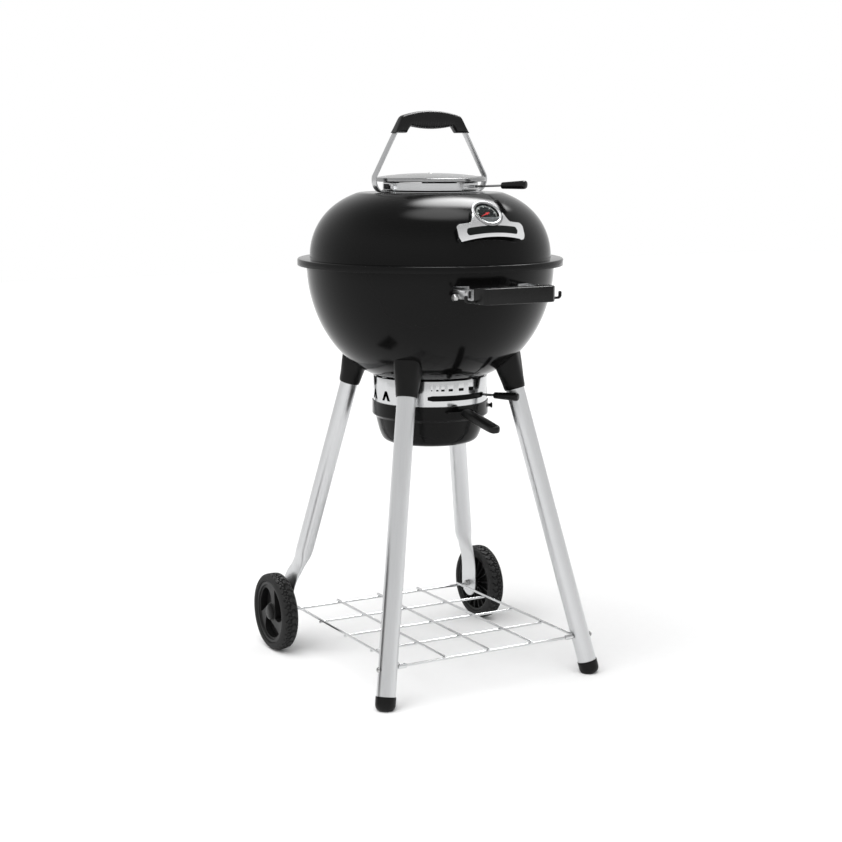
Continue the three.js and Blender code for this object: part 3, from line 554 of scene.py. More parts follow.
# ---------------------------------------------------------------- lid
def build_lid():
    lip = fillet([(243.4, 755.6), (245, 755.6), (245, 767.9), (224.5, 767.9)], [0.7, 0.7, 3.2, 0], 5, False)
    inside = fillet([(220.46, 768.5), (220.46, 766.3), (243.4, 766.3), (243.4, 755.6)], [0, 1.5, 2.4, 0],
                    4, False)
    profile = lip + [(222.6, 768.2), (222.1, 769.2)] + lid_curve(0) + lid_curve(-SHEET)[::-1] + inside[:-1]
    finish_piece(lathe("lid_dome", profile, 220, 40), "enamel", "lid", "lid_shell")


def window_data(r0, r1, azimuth, half, z0, z1, count=8):
    arc = [azimuth - half + 2 * half * i / (count - 1) for i in range(count)]
    outline = [polar(a, r1)[:2] for a in arc] + [polar(a, r0)[:2] for a in reversed(arc)]
    return slab_data(outline, z0, z1)


def build_vent():
    drum = fillet([(82.6, 888.0), (84, 888.0), (84, 905.4), (82.6, 905.4)], 0.4, 2)
    collar = lathe("vent_drum", drum, 200)
    boolean(collar, joined([window_data(70, 90, a, 17, 893.3, 903) for a in VENT_WINDOWS]))
    # the drum is nearly black: painted shade where it shows through the windows and the groove under the
    # damper sleeve
    finish_piece(collar, "painted_shade_sleeve", "lid", "lid_vent_collar")
    flange = fillet([(66.2, 887.9), (89.9, 887.9), (89.9, 889.3), (88.6, 890.2), (66.2, 890.2)], 0.5, 2)
    finish_piece(lathe("vent_flange", flange, 200), "ring", "lid")
    arms = []
    for a in (0, 60, 120):
        turn = Matrix.Rotation(math.radians(a), 4, "Z")
        arms.append(moved(box_data(-82.8, 82.8, -6, 6, 900.5, 902.5), turn))
    spokes = make("vent_spokes", *arms[0])
    boolean(spokes, joined(arms[1:]), "UNION")
    finish_piece(bevel(spokes, 0.5, 2), "ring", "lid")
    sleeve = fillet([(85.2, 891.9), (86.95, 891.9), (86.95, 905.4), (85.2, 905.4)], 0.5, 2)
    damper = lathe("damper_sleeve", sleeve, 200)
    boolean(damper, joined([window_data(70, 95, a, 17, 893.3, 903) for a in VENT_WINDOWS]))
    finish_piece(damper, "sleeve", "lid_damper", "lid_damper_ring")
    # a panel wrapped on the sleeve's front, its seam folded over, and the fork that takes the lever
    panel = window_data(87.0, 87.5, -34, 46, 892.0, 905.2, 60)
    finish_piece(bevel(make("damper_panel", *panel), 0.15, 1), "sleeve", "lid_damper")
    seam = window_data(86.6, 88.3, 12.5, 1.1, 891, 905, 4)
    prongs = [window_data(87.2, 96.5, a, 0.9, 896.2, 901, 3) for a in (26.8, 33.2)]
    base = window_data(87.2, 90, 30, 4.2, 896.2, 901, 5)
    fork = make("damper_fork", *joined([seam] + prongs + [base]))
    finish_piece(bevel(fork, 0.3, 2), "plate", "lid_damper")


def build_cap():
    crown, edge = 921.8, 96
    top = [(0, crown)] + [(edge * i / 14, crown - 6.6 * (i / 14) ** 2.2) for i in range(1, 15)]
    rim = fillet([(102.4, 913.6), (102.4, 908.0), (100.6, 907.1), (98.9, 908.4), (98.9, 912.2)],
                 [3.0, 1.6, 0.9, 0.6, 1], 4, False)
    under = [(94, 913.4), (50, 918.2), (8.5, 919.4), (8, 904), (3.1, 903.8), (3, 897), (0, 896.8)]
    cap = lathe("vent_cap", top + [(98.6, 914.9), (100.8, 914.4)] + rim + under, 220, 40)
    finish_piece(cap, "cap", "lid", "lid_vent_cap")
    nut = fillet([(0, 923.0), (3.4, 922.7), (4.4, 921.6), (4.4, 921.4), (0, 921.2)], [0, 0.8, 0.3, 0, 0],
                 3, False)
    finish_piece(lathe("cap_nut", nut, 32), "zinc", "lid")


# ---------------------------------------------------------------- levers
def lever(name, azimuth, z, rise, rod, rod_r, grip, body):
    """A rod and its moulded grip along an azimuth, each with its start and end, tilted up by rise degrees."""
    slope = math.tan(math.radians(rise))

    def at(r):
        return polar(azimuth, r, z + (r - rod[0]) * slope)

    bar = make(name + "_rod", *rod_data(at(rod[0]), at(rod[1]), rod_r, 20))
    finish_piece(bar, "bezel", body, body + "_rod")
    # how far along the grip, and its half width there
    stations = ((0.0, 4.6), (0.012, 5.6), (0.04, 6.2), (0.2, 6.5), (0.4, 6.9), (0.62, 7.4), (0.8, 7.8),
                (0.9, 7.9), (0.955, 7.5), (0.985, 6.4), (1.0, 4.8))
    out = Vector(polar(azimuth, 1.0))
    side = Vector((-out.y, out.x, 0))
    verts = []
    for t, size in stations:
        here = Vector(at(grip[0] + (grip[1] - grip[0]) * t))
        power = 2 + 1.5 * t  # squarer towards the free end
        for c, s in circle(32):
            grow = 1 / (abs(c) ** power + abs(s) ** power) ** (1 / power)
            grow = 1 + (grow - 1) * 0.35
            verts.append(tuple(here + side * (size * c * grow) + Vector((0, 0, size * s * grow * 0.96))))
    finish_piece(solid(name + "_grip", skin(verts, 32), 45), "grip", body, body + "_grip")


# ---------------------------------------------------------------- lid handle
def bezier(points, count):
    """Points along a cubic curve, without its last one."""
    a, b, c, d = (Vector(p) for p in points)
    out = []
    for i in range(count):
        t = i / count
        u = 1 - t
        out.append(tuple(a * u ** 3 + b * (3 * t * u ** 2) + c * (3 * t * t * u) + d * t ** 3))
    return out


def strap_line():
    """Centre line of the handle strap in (x, z), from the left foot over to the right foot."""
    foot = 889.3
    right = bezier([(89.5, foot), (93, foot), (97, foot), (101.5, foot)], 3)
    right += bezier([(101.5, foot), (110.5, foot + 0.5), (118.3, foot + 13), (115.3, 917)], 12)
    right += bezier([(115.3, 917), (101, 943), (84, 976), (66, 1007)], 6)
    right += bezier([(66, 1007), (63.5, 1013), (59.5, 1017), (53.5, 1017)], 8)
    right += bezier([(53.5, 1017), (36, 1017), (18, 1017), (0, 1017)], 4)
    return [(-x, z) for x, z in right] + [(0, 1017)] + right[::-1]


def offset_line(line, distance):
    out = []
    for i, p in enumerate(line):
        a = Vector(line[max(i - 1, 0)])
        b = Vector(line[min(i + 1, len(line) - 1)])
        along = (b - a).normalized()
        out.append((p[0] - along.y * distance, p[1] + along.x * distance))
    return out


def build_handle():
    line = strap_line()
    half = 8.0
    verts = []
    for (x0, z0), (x1, z1) in zip(offset_line(line, -1.5), offset_line(line, 1.5)):
        verts += [(x0, -half, z0), (x0, half, z0), (x1, half, z1), (x1, -half, z1)]
    strap = solid("handle_strap", skin(verts, 4))
    finish_piece(bevel(strap, 0.8, 3, 40, 30), "strap", "lid", "lid_handle_strap")
    # the grip: a moulded bar with drooping ends and a ribbed finger bed
    reach, half_depth, rows, rib_pitch, rib_depth = 76.6, 10.4, 260, 5.0, 1.1
    verts = []
    for i in range(rows):
        x = reach * (-1 + 2 * i / (rows - 1))
        top, low = grip_section(x)
        mid, tall = (top + low) / 2, (top - low) / 2
        rib = max(0.0, 1 - (abs(x) / 40) ** 8) * (0.5 - 0.5 * math.cos(2 * math.pi * x / rib_pitch))
        for c, s in circle(44):
            under = max(0.0, min(1.0, (-s - 0.05) / 0.3))
            inset = rib_depth * rib * under
            y = (half_depth - inset) * signed_power(c, 0.62)
            verts.append((x, y, mid + (tall - inset) * signed_power(s, 0.62)))
    finish_piece(solid("handle_grip", skin(verts, 44), 50), "grip", "lid", "lid_handle_grip")
    bolt = fillet([(0, 880.7), (2.4, 880.7), (2.4, 891.2), (4.5, 891.2), (4.3, 892.6), (0, 893.5)],
                  [0, 0.4, 0, 0.2, 0.8, 0], 3, False)
    for s, side in SIDES:
        verts, faces = lathe_data(bolt, 32)
        verts = [(x + s * STRAP_X, y, z) for x, y, z in verts]
        finish_piece(make("handle_bolt_" + side, verts, faces), "zinc", "lid", "lid_handle_bolt_" + side)


def grip_section(x):
    """Top and underside of the grip at x."""
    ax = abs(x)
    crown = 1034.2 - 8.6 * (ax / 58) ** 2
    slope = 1023.5 - (ax - 62.5) * (29.5 / 14.5)
    top = -math.log(math.exp(-crown / 2.2) + math.exp(-slope / 2.2)) * 2.2 if ax > 30 else crown
    if ax < 43:
        low = 1001.3 + 4.4 * (ax / 43) ** 2
    elif ax < 52:
        low = 1005.7 - 11.7 * ((ax - 43) / 9) ** 1.4
    else:
        low = 994.0
    return max(top, low + 0.6), low


# ---------------------------------------------------------------- thermometer and plaque
GAUGE = Matrix.Translation((0, -193, 849.2)) @ Matrix.Rotation(math.radians(44), 4, "X")


def gauge_piece(name, data, look, body, *nodes):
    finish_piece(make(name, *moved(data, GAUGE)), look, body, *nodes)


def build_gauge():
    bezel = fillet([(0, -5), (26.9, -5), (26.9, 3.8), (28.9, 5.4), (28.9, 9.6), (27.2, 10.1), (27.0, 11.9),
                    (24.9, 11.9), (24.4, 10.6), (23.1, 10.4), (22.8, 6.6), (0, 6.6)],
                   [0, 0.4, 0.8, 0.9, 1.2, 0.3, 0.9, 0.7, 0.4, 0.5, 0.2, 0], 4, False)
    gauge_piece("gauge_bezel", lathe_data(bezel, 96), "bezel", "lid", "thermometer_case")
    stem = fillet([(0, -45.8), (3.6, -45.2), (3.9, -5), (0, -5)], [0, 1.5, 0, 0], 4, False)
    gauge_piece("gauge_stem", lathe_data(stem, 24), "zinc", "lid")
    face = fillet([(0, 6.85), (22.4, 6.85), (22.4, 7.55), (0, 7.55)], [0, 0.2, 0.2, 0], 2, False)
    gauge_piece("gauge_dial", lathe_data(face, 80), "dial", "lid", "thermometer_dial")
    marks = []
    for i in range(31):
        a = math.radians(-35 + i * 250 / 30)
        long = i % 5 == 0
        r0, r1, w = (15.0, 19.6, 0.55) if long else (17.3, 19.6, 0.28)
        tick = box_data(r0, r1, -w, w, 7.5, 7.75)
        marks.append(moved(tick, Matrix.Rotation(a, 4, "Z")))
    gauge_piece("gauge_marks", joined(marks), "marks", "lid")
    # the lower part of the window is covered by a bright plate cut straight across
    chord = [(-21.0, -8.2), (21.0, -8.2)]
    angles = [math.radians(a) for a in range(-20, -161, -5)]
    arc = [(22.3 * math.cos(a), 22.3 * math.sin(a)) for a in angles]
    gauge_piece("gauge_plate", slab_data((chord + arc)[::-1], 7.6, 8.0), "bezel", "lid")
    hub = lathe_data(fillet([(0, 8.05), (2.3, 8.05), (2.3, 8.75), (0, 9.0)], [0, 0.1, 0.3, 0], 2, False), 32)
    blade = [(-6.0, -1.2), (-1.5, -1.0), (14.6, -0.35), (15.3, 0), (14.6, 0.35), (-1.5, 1.0), (-6.0, 1.2)]
    blade = slab_data(blade, 8.15, 8.65)
    needle = moved(joined([hub, blade]), Matrix.Rotation(math.radians(205), 4, "Z"))
    gauge_piece("gauge_needle", needle, "needle", "needle", "thermometer_pointer")
    lens = [(0, 10.5), (14, 10.35), (22.4, 9.9), (22.4, 9.4), (14, 9.7), (0, 9.8)]
    gauge_piece("gauge_lens", lathe_data(lens, 64), "lens", "lid", "thermometer_lens")


def draped(curves, columns, rows, reach, span):
    """A sheet between two of the lid's curves; span gives its lowest and highest z at each column."""
    verts, faces = [], []
    for curve in curves:
        for i in range(columns):
            x = -reach + 2 * reach * i / (columns - 1)
            low, top = span(x)
            for j in range(rows):
                z = low + (top - low) * j / (rows - 1)
                r = radius_at(curve, z)
                verts.append((x, -math.sqrt(r * r - x * x), z))
    size = columns * rows
    for i in range(columns - 1):
        for j in range(rows - 1):
            a, b = i * rows + j, (i + 1) * rows + j
            faces.append([a, a + 1, b + 1, b])
            faces.append([size + a, size + b, size + b + 1, size + a + 1])
    edge = [i * rows for i in range(columns)] + [size - rows + j for j in range(1, rows)]
    edge += [i * rows + rows - 1 for i in reversed(range(columns - 1))] + list(reversed(range(1, rows - 1)))
    for i, a in enumerate(edge):
        b = edge[(i + 1) % len(edge)]
        faces.append([a, b, size + b, size + a])
    return verts, faces


def build_plaque():
    """A bright plate that follows the lid, cut out round the thermometer, with a dark band let into it."""
    back = lid_curve(9.6)
    plaque = solid("plaque", draped((back, lid_curve(12.9)), 90, 12, 66.5, plaque_span))
    boolean(plaque, moved(lathe_data([(0, -30), (29.2, -30), (29.2, 30), (0, 30)], 96), GAUGE))
    finish_piece(bevel(plaque, 0.9, 3, 35), "badge", "lid", "badge_plate")
    band = draped((lid_curve(12.6), lid_curve(13.05)), 60, 7, 51, band_span)
    finish_piece(solid("plaque_inlay", band), "dial", "lid")
    feet, z = [], 812
    r0, r1 = radius_at(lid_curve(0.2), z), radius_at(back, z) + 0.6
    for x in (-60, 60):
        y0, y1 = -math.sqrt(r0 * r0 - x * x), -math.sqrt(r1 * r1 - x * x)
        feet.append(tube_data([(x, y0 + 0.8, z), (x, y1, z + 0.6)], 3.4, 20))
    finish_piece(make("plaque_feet", *joined(feet)), "badge", "lid")


def band_span(x):
    """Lowest and highest z of the dark band, whose ends are round."""
    end = math.sqrt(max(0.03, 1 - max(0.0, (abs(x) - 46) / 5.05) ** 2))
    middle = 829.6 - 4.2 * (x / 51) ** 2
    return middle - 6.2 * end, middle + 6.2 * end


def plaque_span(x):
    """Lowest and highest z of the plaque's outline."""
    ax = abs(x)
    low = 817.0 - 7.0 * (ax / 60) ** 2
    if ax > 60:
        low = 810.0 + 12 * (1 - math.sqrt(max(0.0, 1 - ((ax - 60) / 7) ** 2)))
    if ax < 31:
        top = 856.0
    elif ax < 44:
        u = (ax - 31) / 13
        top = 840.6 + 15.4 * (1 - u) ** 2.6
    else:
        top = 840.6 - 1.4 * (ax - 44) / 12
    if ax > 56:
        top = 839.2 - 10 * (1 - math.sqrt(max(0.0, 1 - ((ax - 56) / 11) ** 2)))
    return low, max(top, low + 1.0)


# ---------------------------------------------------------------- bowl
def build_bowl():
    rim = fillet([(228.4, 764.4), (239.9, 764.4), (239.9, 759.0), (241.4, 759.0), (241.4, 765.9),
                  (228.2, 765.9), (226.4, 762.5)], [1.5, 1.2, 0.6, 0.6, 2.2, 2.0, 1.5], 4, False)
    inside = [(BOWL_R - SHEET, 758.0)] + bowl_curve(-SHEET)
    profile = rim + inside + bowl_curve(0)[::-1] + [(BOWL_R, 758.0)]
    finish_piece(lathe("bowl", profile, 220, 40), "enamel", "stand", "bowl_shell")
    for i in (1, 2, 3):
        keep_node(f"grate_tab_{i}", "zinc")


def grate(name, radius, rim_r, bar_r, z, pitch, cross, body, node):
    """A round wire grate: its rim, bars along Y at a pitch, and a cross bar under them on each side."""
    ring = radius - rim_r
    pieces = [tube_data([polar(a, ring, z) for a in range(0, 360, 3)], rim_r * 0.93, 12, True)]
    x = -math.floor(radius / pitch) * pitch
    while x < radius - 3:
        if abs(x) < radius - 6:
            half = math.sqrt(ring ** 2 - x * x)
            pieces.append(rod_data((x, -half, z + 0.3), (x, half, z + 0.3), bar_r, 8))
        x += pitch
    for y in (-cross, cross):
        half = math.sqrt(ring ** 2 - y * y)
        pieces.append(rod_data((-half, y, z - bar_r - 0.2), (half, y, z - bar_r - 0.2), bar_r, 8))
    finish_piece(make(name, *joined(pieces)), "wire", body, node)


# ---------------------------------------------------------------- lower vent and ash pan
def chevron_outline(z0, z1, half, stroke):
    tip = stroke * 0.45
    return [(-half, z0), (-half + stroke, z0), (0, z0 + (z1 - z0) * 0.46), (half - stroke, z0), (half, z0),
            (tip, z1), (-tip, z1)]


def radial_cut(outline, azimuth, r0, r1):
    """An outline of (x, z) points pushed through a wall at an azimuth."""
    return moved(moved(slab_data(outline, r0, r1), XZ), Matrix.Rotation(math.radians(azimuth), 4, "Z"))


def build_vent_ring():
    wall = fillet([(105.3, 490.1), (106.5, 490.1), (106.5, 551.1), (100.6, 548.8), (100.6, 547.7),
                   (105.3, 549.0)], [0.4, 0.4, 1.2, 0.3, 0.3, 0.8], 3)
    ring = lathe("vent_ring", wall, 200)
    start, sweep, steps = -32, 69, 14
    slot = []
    for i in range(steps + 1):
        half = 5.0 if 0 < i < steps else 3.0  # lower at both ends, which rounds them off
        for r, z in ((98, -half), (112, -half), (112, half), (98, half)):
            slot.append(polar(start + sweep * i / steps, r, AIR_Z + z))
    cuts = [skin(slot, 4)]
    cuts += [radial_cut(chevron_outline(510, 528, 11.5, 7.0), a, 95, 115) for a in AIR_HOLES]
    for i, a in enumerate((-28, -22.5, -17, -9, 2.5, 15)):
        w, h = (2.2 + 2.1 * i) / 2, (2.2 + 0.75 * i) / 2
        low, high = 534.5 - h, 534.5 + h
        cuts.append(radial_cut([(-w, low), (w, low), (w, high), (-w, high)], a, 95, 115))
    boolean(ring, joined(cuts))
    finish_piece(ring, "ring", "stand", "bowl_vent_ring")
    drum = fillet([(102.9, 507.1), (104.0, 507.1), (104.0, 544.9), (102.9, 544.9)], 0.4, 2)
    sleeve = lathe("damper_drum", drum, 200)
    boolean(sleeve, joined([window_data(95, 112, a, 5.2, 509, 531, 4) for a in AIR_HOLES]))
    # the drum is nearly black: painted shade where it shows through the chevrons
    finish_piece(sleeve, "painted_shade_sleeve", "bowl_damper", "bowl_damper_sleeve")
    boss = tube_data([polar(33, 96, AIR_Z), polar(33, 103.2, AIR_Z)], 5.8, 24)
    finish_piece(make("damper_boss", *boss), "zinc", "bowl_damper")


def build_pan():
    outer = fillet([(108.4, 503.9), (108.4, 478.8), (102.2, 475.2), (94.9, 446), (88.5, 431.5), (78, 426.1),
                    (0, 426.1)], [0.4, 2.5, 3, 10, 6, 6, 0], 5, False)
    gauge = 1.4
    # the inside stands off the wall and, low down, off the floor too
    inner = [(r - gauge, z + (gauge if i > 3 else 0)) for i, (r, z) in enumerate(outer) if r > gauge]
    profile = [(0, 426.1 + gauge)] + inner[::-1] + outer
    finish_piece(lathe("ash_pan_bowl", profile, 200, 40), "enamel", "pan", "ash_pan")
    tongue = [(-28, -105), (-25, -119), (-7, -129), (-7, -150), (7, -150), (7, -129), (25, -119), (28, -105)]
    bracket = make("pan_bracket", *slab_data(tongue, 493.6, 496.0))
    boolean(bracket, lathe_data([(0, 480), (108.6, 480), (108.6, 510), (0, 510)], 200))
    finish_piece(bevel(bracket, 0.5, 2), "enamel", "pan", "ash_pan_bracket")
    build_pan_grip()
    for i, azimuth in enumerate((60, 180, 300)):
        path = [polar(azimuth, r, 492) for r in (108.6, 110, 112.4, 113.2, 115.4, 116.4, 116.9)]
        knob = tube_data(path, [3.4, 3.2, 3.2, 4.6, 5.3, 5.0, 3.6], 28)
        finish_piece(make(f"pan_knob_{i + 1}", *knob), "grip", "pan", f"ash_pan_knob_{i + 1}")


def build_pan_grip():
    """A moulded pull that droops away from the pan."""
    tilt = Matrix.Translation((0, -131, 495)) @ Matrix.Rotation(math.atan(17 / 109), 4, "X")
    rows, length = 40, 108.8
    verts = []
    for i in range(rows):
        u = i / (rows - 1)
        half = 10.0 + 1.5 * min(1, u / 0.8)
        if u > 0.86:
            half *= math.sqrt(max(0.02, 1 - ((u - 0.86) / 0.142) ** 2))
        tall = 7.9 * (0.86 + 0.14 * math.sin(math.pi * min(1, u * 1.1)))
        if u > 0.93:
            tall *= math.sqrt(max(0.03, 1 - ((u - 0.93) / 0.075) ** 2))
        for c, s in circle(36):
            verts.append((half * signed_power(c, 0.6), -length * u, tall * signed_power(s, 0.6)))
    finish_piece(solid("pan_grip", moved(skin(verts, 36), tilt), 50), "grip", "pan", "ash_pan_grip")


# ---------------------------------------------------------------- front handle
def build_front_handle():
    half, heel, y0, y1 = 68, 77, -282, -313
    left = [(-50, y0), (-heel, y0), (-half - 3, y1 + 5), (-half + 4, y1)]
    front = [(-half + 8 + i * (2 * half - 16) / 16, y1) for i in range(17)]
    right = [(half - 4, y1), (half + 3, y1 + 5), (heel, y0), (50, y0)]
    back = []
    for i in range(33):
        x = 46 - 92 * i / 32
        back.append((x, y0 - 9 + 4.5 * (1 - abs(x / 46) ** 2) - 3.5 * (1 - abs(x / 46) ** 6) + 3.5))
    outline = left + front + right + [(48, y0 - 3)] + back + [(-48, y0 - 3)]
    bar = solid("front_bar", slab_data(outline, 707.7, 735.5))
    finish_piece(bevel(bar, 2.6, 4, 40), "grip", "stand", "front_handle_bar")
    line = ((70, 712.3), (88, 712.3), (91.8, 712.6), (94.0, 714.2), (94.7, 716.8), (94.7, 722.4),
            (94.7, 723.6))
    sizes = [2.3, 2.3, 2.6, 2.9, 3.0, 2.9, 1.8]
    hooks = [tube_data([(s * x, -288, z) for x, z in line], sizes, 16) for s, _ in SIDES]
    finish_piece(solid("front_hooks", joined(hooks)), "grip", "stand")
    for s, side in SIDES:
        build_front_bracket(s, side)


def build_front_bracket(s, side):
    """A plate that stands out from the bowl, turned in at both ends, and its bolt."""
    end, low, high = -281.6, 713.2, 732.8
    web = fillet([(end, low), (end, high), (-200, high), (-200, low)], [3, 3, 0, 0], 4)
    plate = [(73.7, y, z) for y, z in web] + [(76.0, y, z) for y, z in web]
    n = len(web)
    faces = [list(range(n)), list(reversed(range(n, 2 * n)))]
    faces += [[i, n + i, n + (i + 1) % n, (i + 1) % n] for i in range(n)]
    body = solid("front_bracket_" + side, sided((plate, faces), s))
    foot = make("foot_plate", *sided(box_data(50, 75.9, -235, -196, low, high), s))
    boolean(foot, bowl_solid(2.8), "INTERSECT")
    verts = [(v.co.x / MM, (v.co.y - AXIS_Y) / MM, v.co.z / MM) for v in foot.data.vertices]
    foot_data = (verts, [list(p.vertices) for p in foot.data.polygons])
    bpy.data.objects.remove(foot)
    boolean(body, sided(box_data(50, 76, end, end + 2.3, low, high), s), "UNION")
    boolean(body, foot_data, "UNION")
    boolean(body, bowl_solid(0.3))
    slots = [box_data(70, 80, -253, -232, 724.5, 727.6), box_data(70, 80, -273, -262, 716.5, 729)]
    boolean(body, sided(joined(slots), s))
    finish_piece(bevel(body, 0.5, 2, 40), "plate", "stand", "front_handle_bracket_" + side)
    head = tube_data([(x, -226, 715) for x in (76.3, 77.2, 82.6, 83.6)], [6.0, 6.3, 6.3, 5.6], 6)
    shank = tube_data([(69, -226, 715), (84.4, -226, 715)], 3.0, 20)
    bolt = make("front_bolt_" + side, *sided(joined([head, shank]), s))
    finish_piece(bolt, "zinc", "stand", "front_handle_bolt_" + side)


# ---------------------------------------------------------------- legs, sockets and feet
def leg_point(sx, sy, z):
    y0 = 224.5 if sy < 0 else 218.0
    return Vector((sx * (217.4 - 0.195 * z), sy * (y0 - 0.205 * z), z))


def along_leg(obj, sx, sy):
    """Gives the piece an origin and a Z axis of its own on the leg's centre line, for the drawn lines."""
    origin = place(leg_point(sx, sy, 0))
    up = (leg_point(sx, sy, 500) - leg_point(sx, sy, 0)).normalized()
    frame_matrix = Matrix.Translation(origin) @ up.to_track_quat("Z", "Y").to_matrix().to_4x4()
    obj.data.transform(frame_matrix.inverted())
    obj.matrix_world = frame_matrix


def build_front_leg(sx, side):
    low, high = leg_point(sx, -1, 9.7), leg_point(sx, -1, 561.8)
    up = (high - low).normalized()
    normal = up.orthogonal().normalized()
    across = up.cross(normal)
    trim = 0.4
    rings = [(low + up * trim, LEG_R), (high - up * trim, LEG_R), (high, LEG_R - trim),
             (high, LEG_R - LEG_WALL), (low, LEG_R - LEG_WALL), (low, LEG_R - trim)]
    verts = []
    for centre, size in rings:
        verts.extend(tuple(centre + normal * (size * c) + across * (size * s)) for c, s in circle(56))
    leg = solid("tube_front_" + side, skin(verts, 56, ring=True))
    hole = [(sx * 150, SHELF_FRONT, SHELF_Z), (sx * 235, SHELF_FRONT, SHELF_Z)]
    boolean(leg, tube_data(hole, 3.0, 20))
    along_leg(leg, sx, -1)
    finish_piece(leg, "leg", "stand", "leg_front_" + side)


def build_rear_leg(sx, side):
    """A tube whose lower end is pressed flat and stands upright for the axle bolt."""
    low, high = 49.0, 556.0
    heights = [low + 26 * (1 - math.cos(math.radians(k * 6))) for k in range(16)]
    heights += [75 + i * 2.5 for i in range(1, 57)]
    heights += [mix(217.5, high, i / 8) for i in range(1, 9)]
    verts = []
    for z in heights:
        flat = 1 - smooth(z, 128, 200)
        bend = 1 - smooth(z, 100, 190)
        down = max(-1.0, min(1.0, (z - 75) / 26.5))
        tip = math.sqrt(max(1 - down * down, 0.002)) if z < 75 else 1
        wide = mix(LEG_R, 26.5, flat) * tip
        thick = mix(LEG_R, 1.55, flat)
        axis = leg_point(1, 1, z)
        x, y = mix(axis.x, 206.8, bend), mix(axis.y, WHEEL[1], bend)
        power = mix(1.0, 0.42, smooth(flat, 0.35, 0.8))
        verts.extend((x + signed_power(s, power) * thick, y + c * wide, z) for c, s in circle(64))
    leg = solid("tube_rear_" + side, sided(skin(verts, 64), sx), 40)
    for (y, z), size, sides, crease in ((WHEEL[1:], 5.3, 32, 32), ((SHELF_BACK, SHELF_Z), 2.9, 20, 40)):
        boolean(leg, tube_data([(sx * 190, y, z), (sx * 225, y, z)], size, sides), crease=crease)
    along_leg(leg, sx, 1)
    finish_piece(leg, "leg", "stand", "leg_rear_" + side)


def build_socket(sx, sy, name):
    """A moulded socket, round where the tube enters and squarer where it meets the bowl."""
    low, high = leg_point(sx, sy, 530), leg_point(sx, sy, 609)
    up = (high - low).normalized()
    inward = Vector((-low.x, -low.y, 0)).normalized()
    inward = (inward - up * inward.dot(up)).normalized()
    across = up.cross(inward)
    rows = 22
    verts = []
    for i in range(rows):
        u = i / (rows - 1)
        centre = low.lerp(high, u)
        size = 19.5 + 7.0 * u - (0.7 if i == 0 else 0)
        power = 2 + 2.2 * smooth(u, 0.1, 0.8)
        for c, s in circle(72):
            reach = size / (abs(c) ** power + abs(s) ** power) ** (1 / power)
            verts.append(tuple(centre + across * (reach * c) + inward * (reach * s)))
    socket = solid("socket_" + name, skin(verts, 72), 40)
    boolean(socket, bowl_solid(0.3), crease=40)
    bore = [leg_point(sx, sy, 520), leg_point(sx, sy, 562.4)]
    boolean(socket, tube_data(bore, LEG_R + 0.4, 56), crease=40)
    finish_piece(socket, "resin", "stand", "leg_socket_" + name)


def build_foot(sx, side):
    """A round-nosed rubber-like cap along the leg, worn flat on the floor."""
    profile = fillet([(0, -1.95), (9, -1.95), (14, 0.1), (17, 4.1), (18.3, 9.0), (18.3, 23.9), (17.65, 23.9),
                      (17.65, 9.3), (0, 9.3)], [0, 3.0, 3.5, 3.5, 4, 0.35, 0.25, 0.4, 0], 4, False)
    base = leg_point(sx, -1, 0)
    up = (leg_point(sx, -1, 1) - base).normalized()
    lean = Matrix.Translation(base) @ Vector((0, 0, 1)).rotation_difference(up).to_matrix().to_4x4()
    foot = make("foot_cap_" + side, *moved(lathe_data(profile, 72), lean))
    boolean(foot, box_data(base.x - 40, base.x + 40, base.y - 40, base.y + 40, -30, 0.05))
    finish_piece(foot, "resin", "stand", "foot_" + side)


# ---------------------------------------------------------------- wheels
def wheel_place(sx):
    """Takes a piece turned about Z to its wheel, with its outer face away from the leg."""
    x, y, z = WHEEL
    turn = Matrix.Rotation(math.pi, 4, "Z") if sx < 0 else Matrix.Identity(4)
    return Matrix.Translation((sx * x, y, z)) @ turn @ Matrix.Rotation(math.pi / 2, 4, "Y")


def tread_depth(angle, v):
    """How deep the tread is cut at an angle round the tyre and v from -1 to 1 across it."""
    pitch = 2 * math.pi / TREAD
    groove = 0.0
    for way in (1, -1):
        lean = way * (0.07 * v + 0.024 * math.sin(3.1 * v * math.pi))
        phase = ((angle + lean) / pitch + (0.25 if way > 0 else 0)) % 1.0
        near = abs(phase - 0.5) * 2
        lane = 1.0 if way * v > -0.35 else smooth(-way * v, 0.75, 0.35)
        groove = max(groove, lane * smooth(near, 0.74, 0.88))
    wave = math.sin(angle * TREAD)
    zig = 0.12 * math.copysign(1, wave) * min(1, abs(wave) * 3)
    groove = max(groove, 1 - smooth(abs(v - zig), 0.045, 0.10))
    return groove * (1 - smooth(abs(v), 0.9, 1.0))


def build_tyre(sx, side):
    wall = [(60.4, -13.6), (61.3, -15.2), (62.8, -16.4), (64.0, -16.2), (65.0, -15.8), (67.0, -16.2),
            (69.2, -15.8), (71.0, -14.4), (72.6, -12.6)]
    across, segments, depth = 46, TREAD * 18, 2.6
    rows = [(r, z, None) for r, z in wall]
    for i in range(1, across):
        v = -1 + 2 * i / across
        rows.append((74.9 - 1.5 * abs(v) ** 2.6, 12.4 * v, v))
    rows += [(r, -z, None) for r, z in reversed(wall)]
    verts = []
    for r, z, v in rows:
        for k, (c, s) in enumerate(circle(segments)):
            cut = 0.0 if v is None else depth * tread_depth(2 * math.pi * k / segments, v)
            verts.append(((r - cut) * c, (r - cut) * s, z))
    tyre = solid("tyre_tread_" + side, moved(skin(verts, segments, ring=True), wheel_place(sx)), 50)
    finish_piece(tyre, "rubber", f"wheel_{side}", f"tyre_{side}")


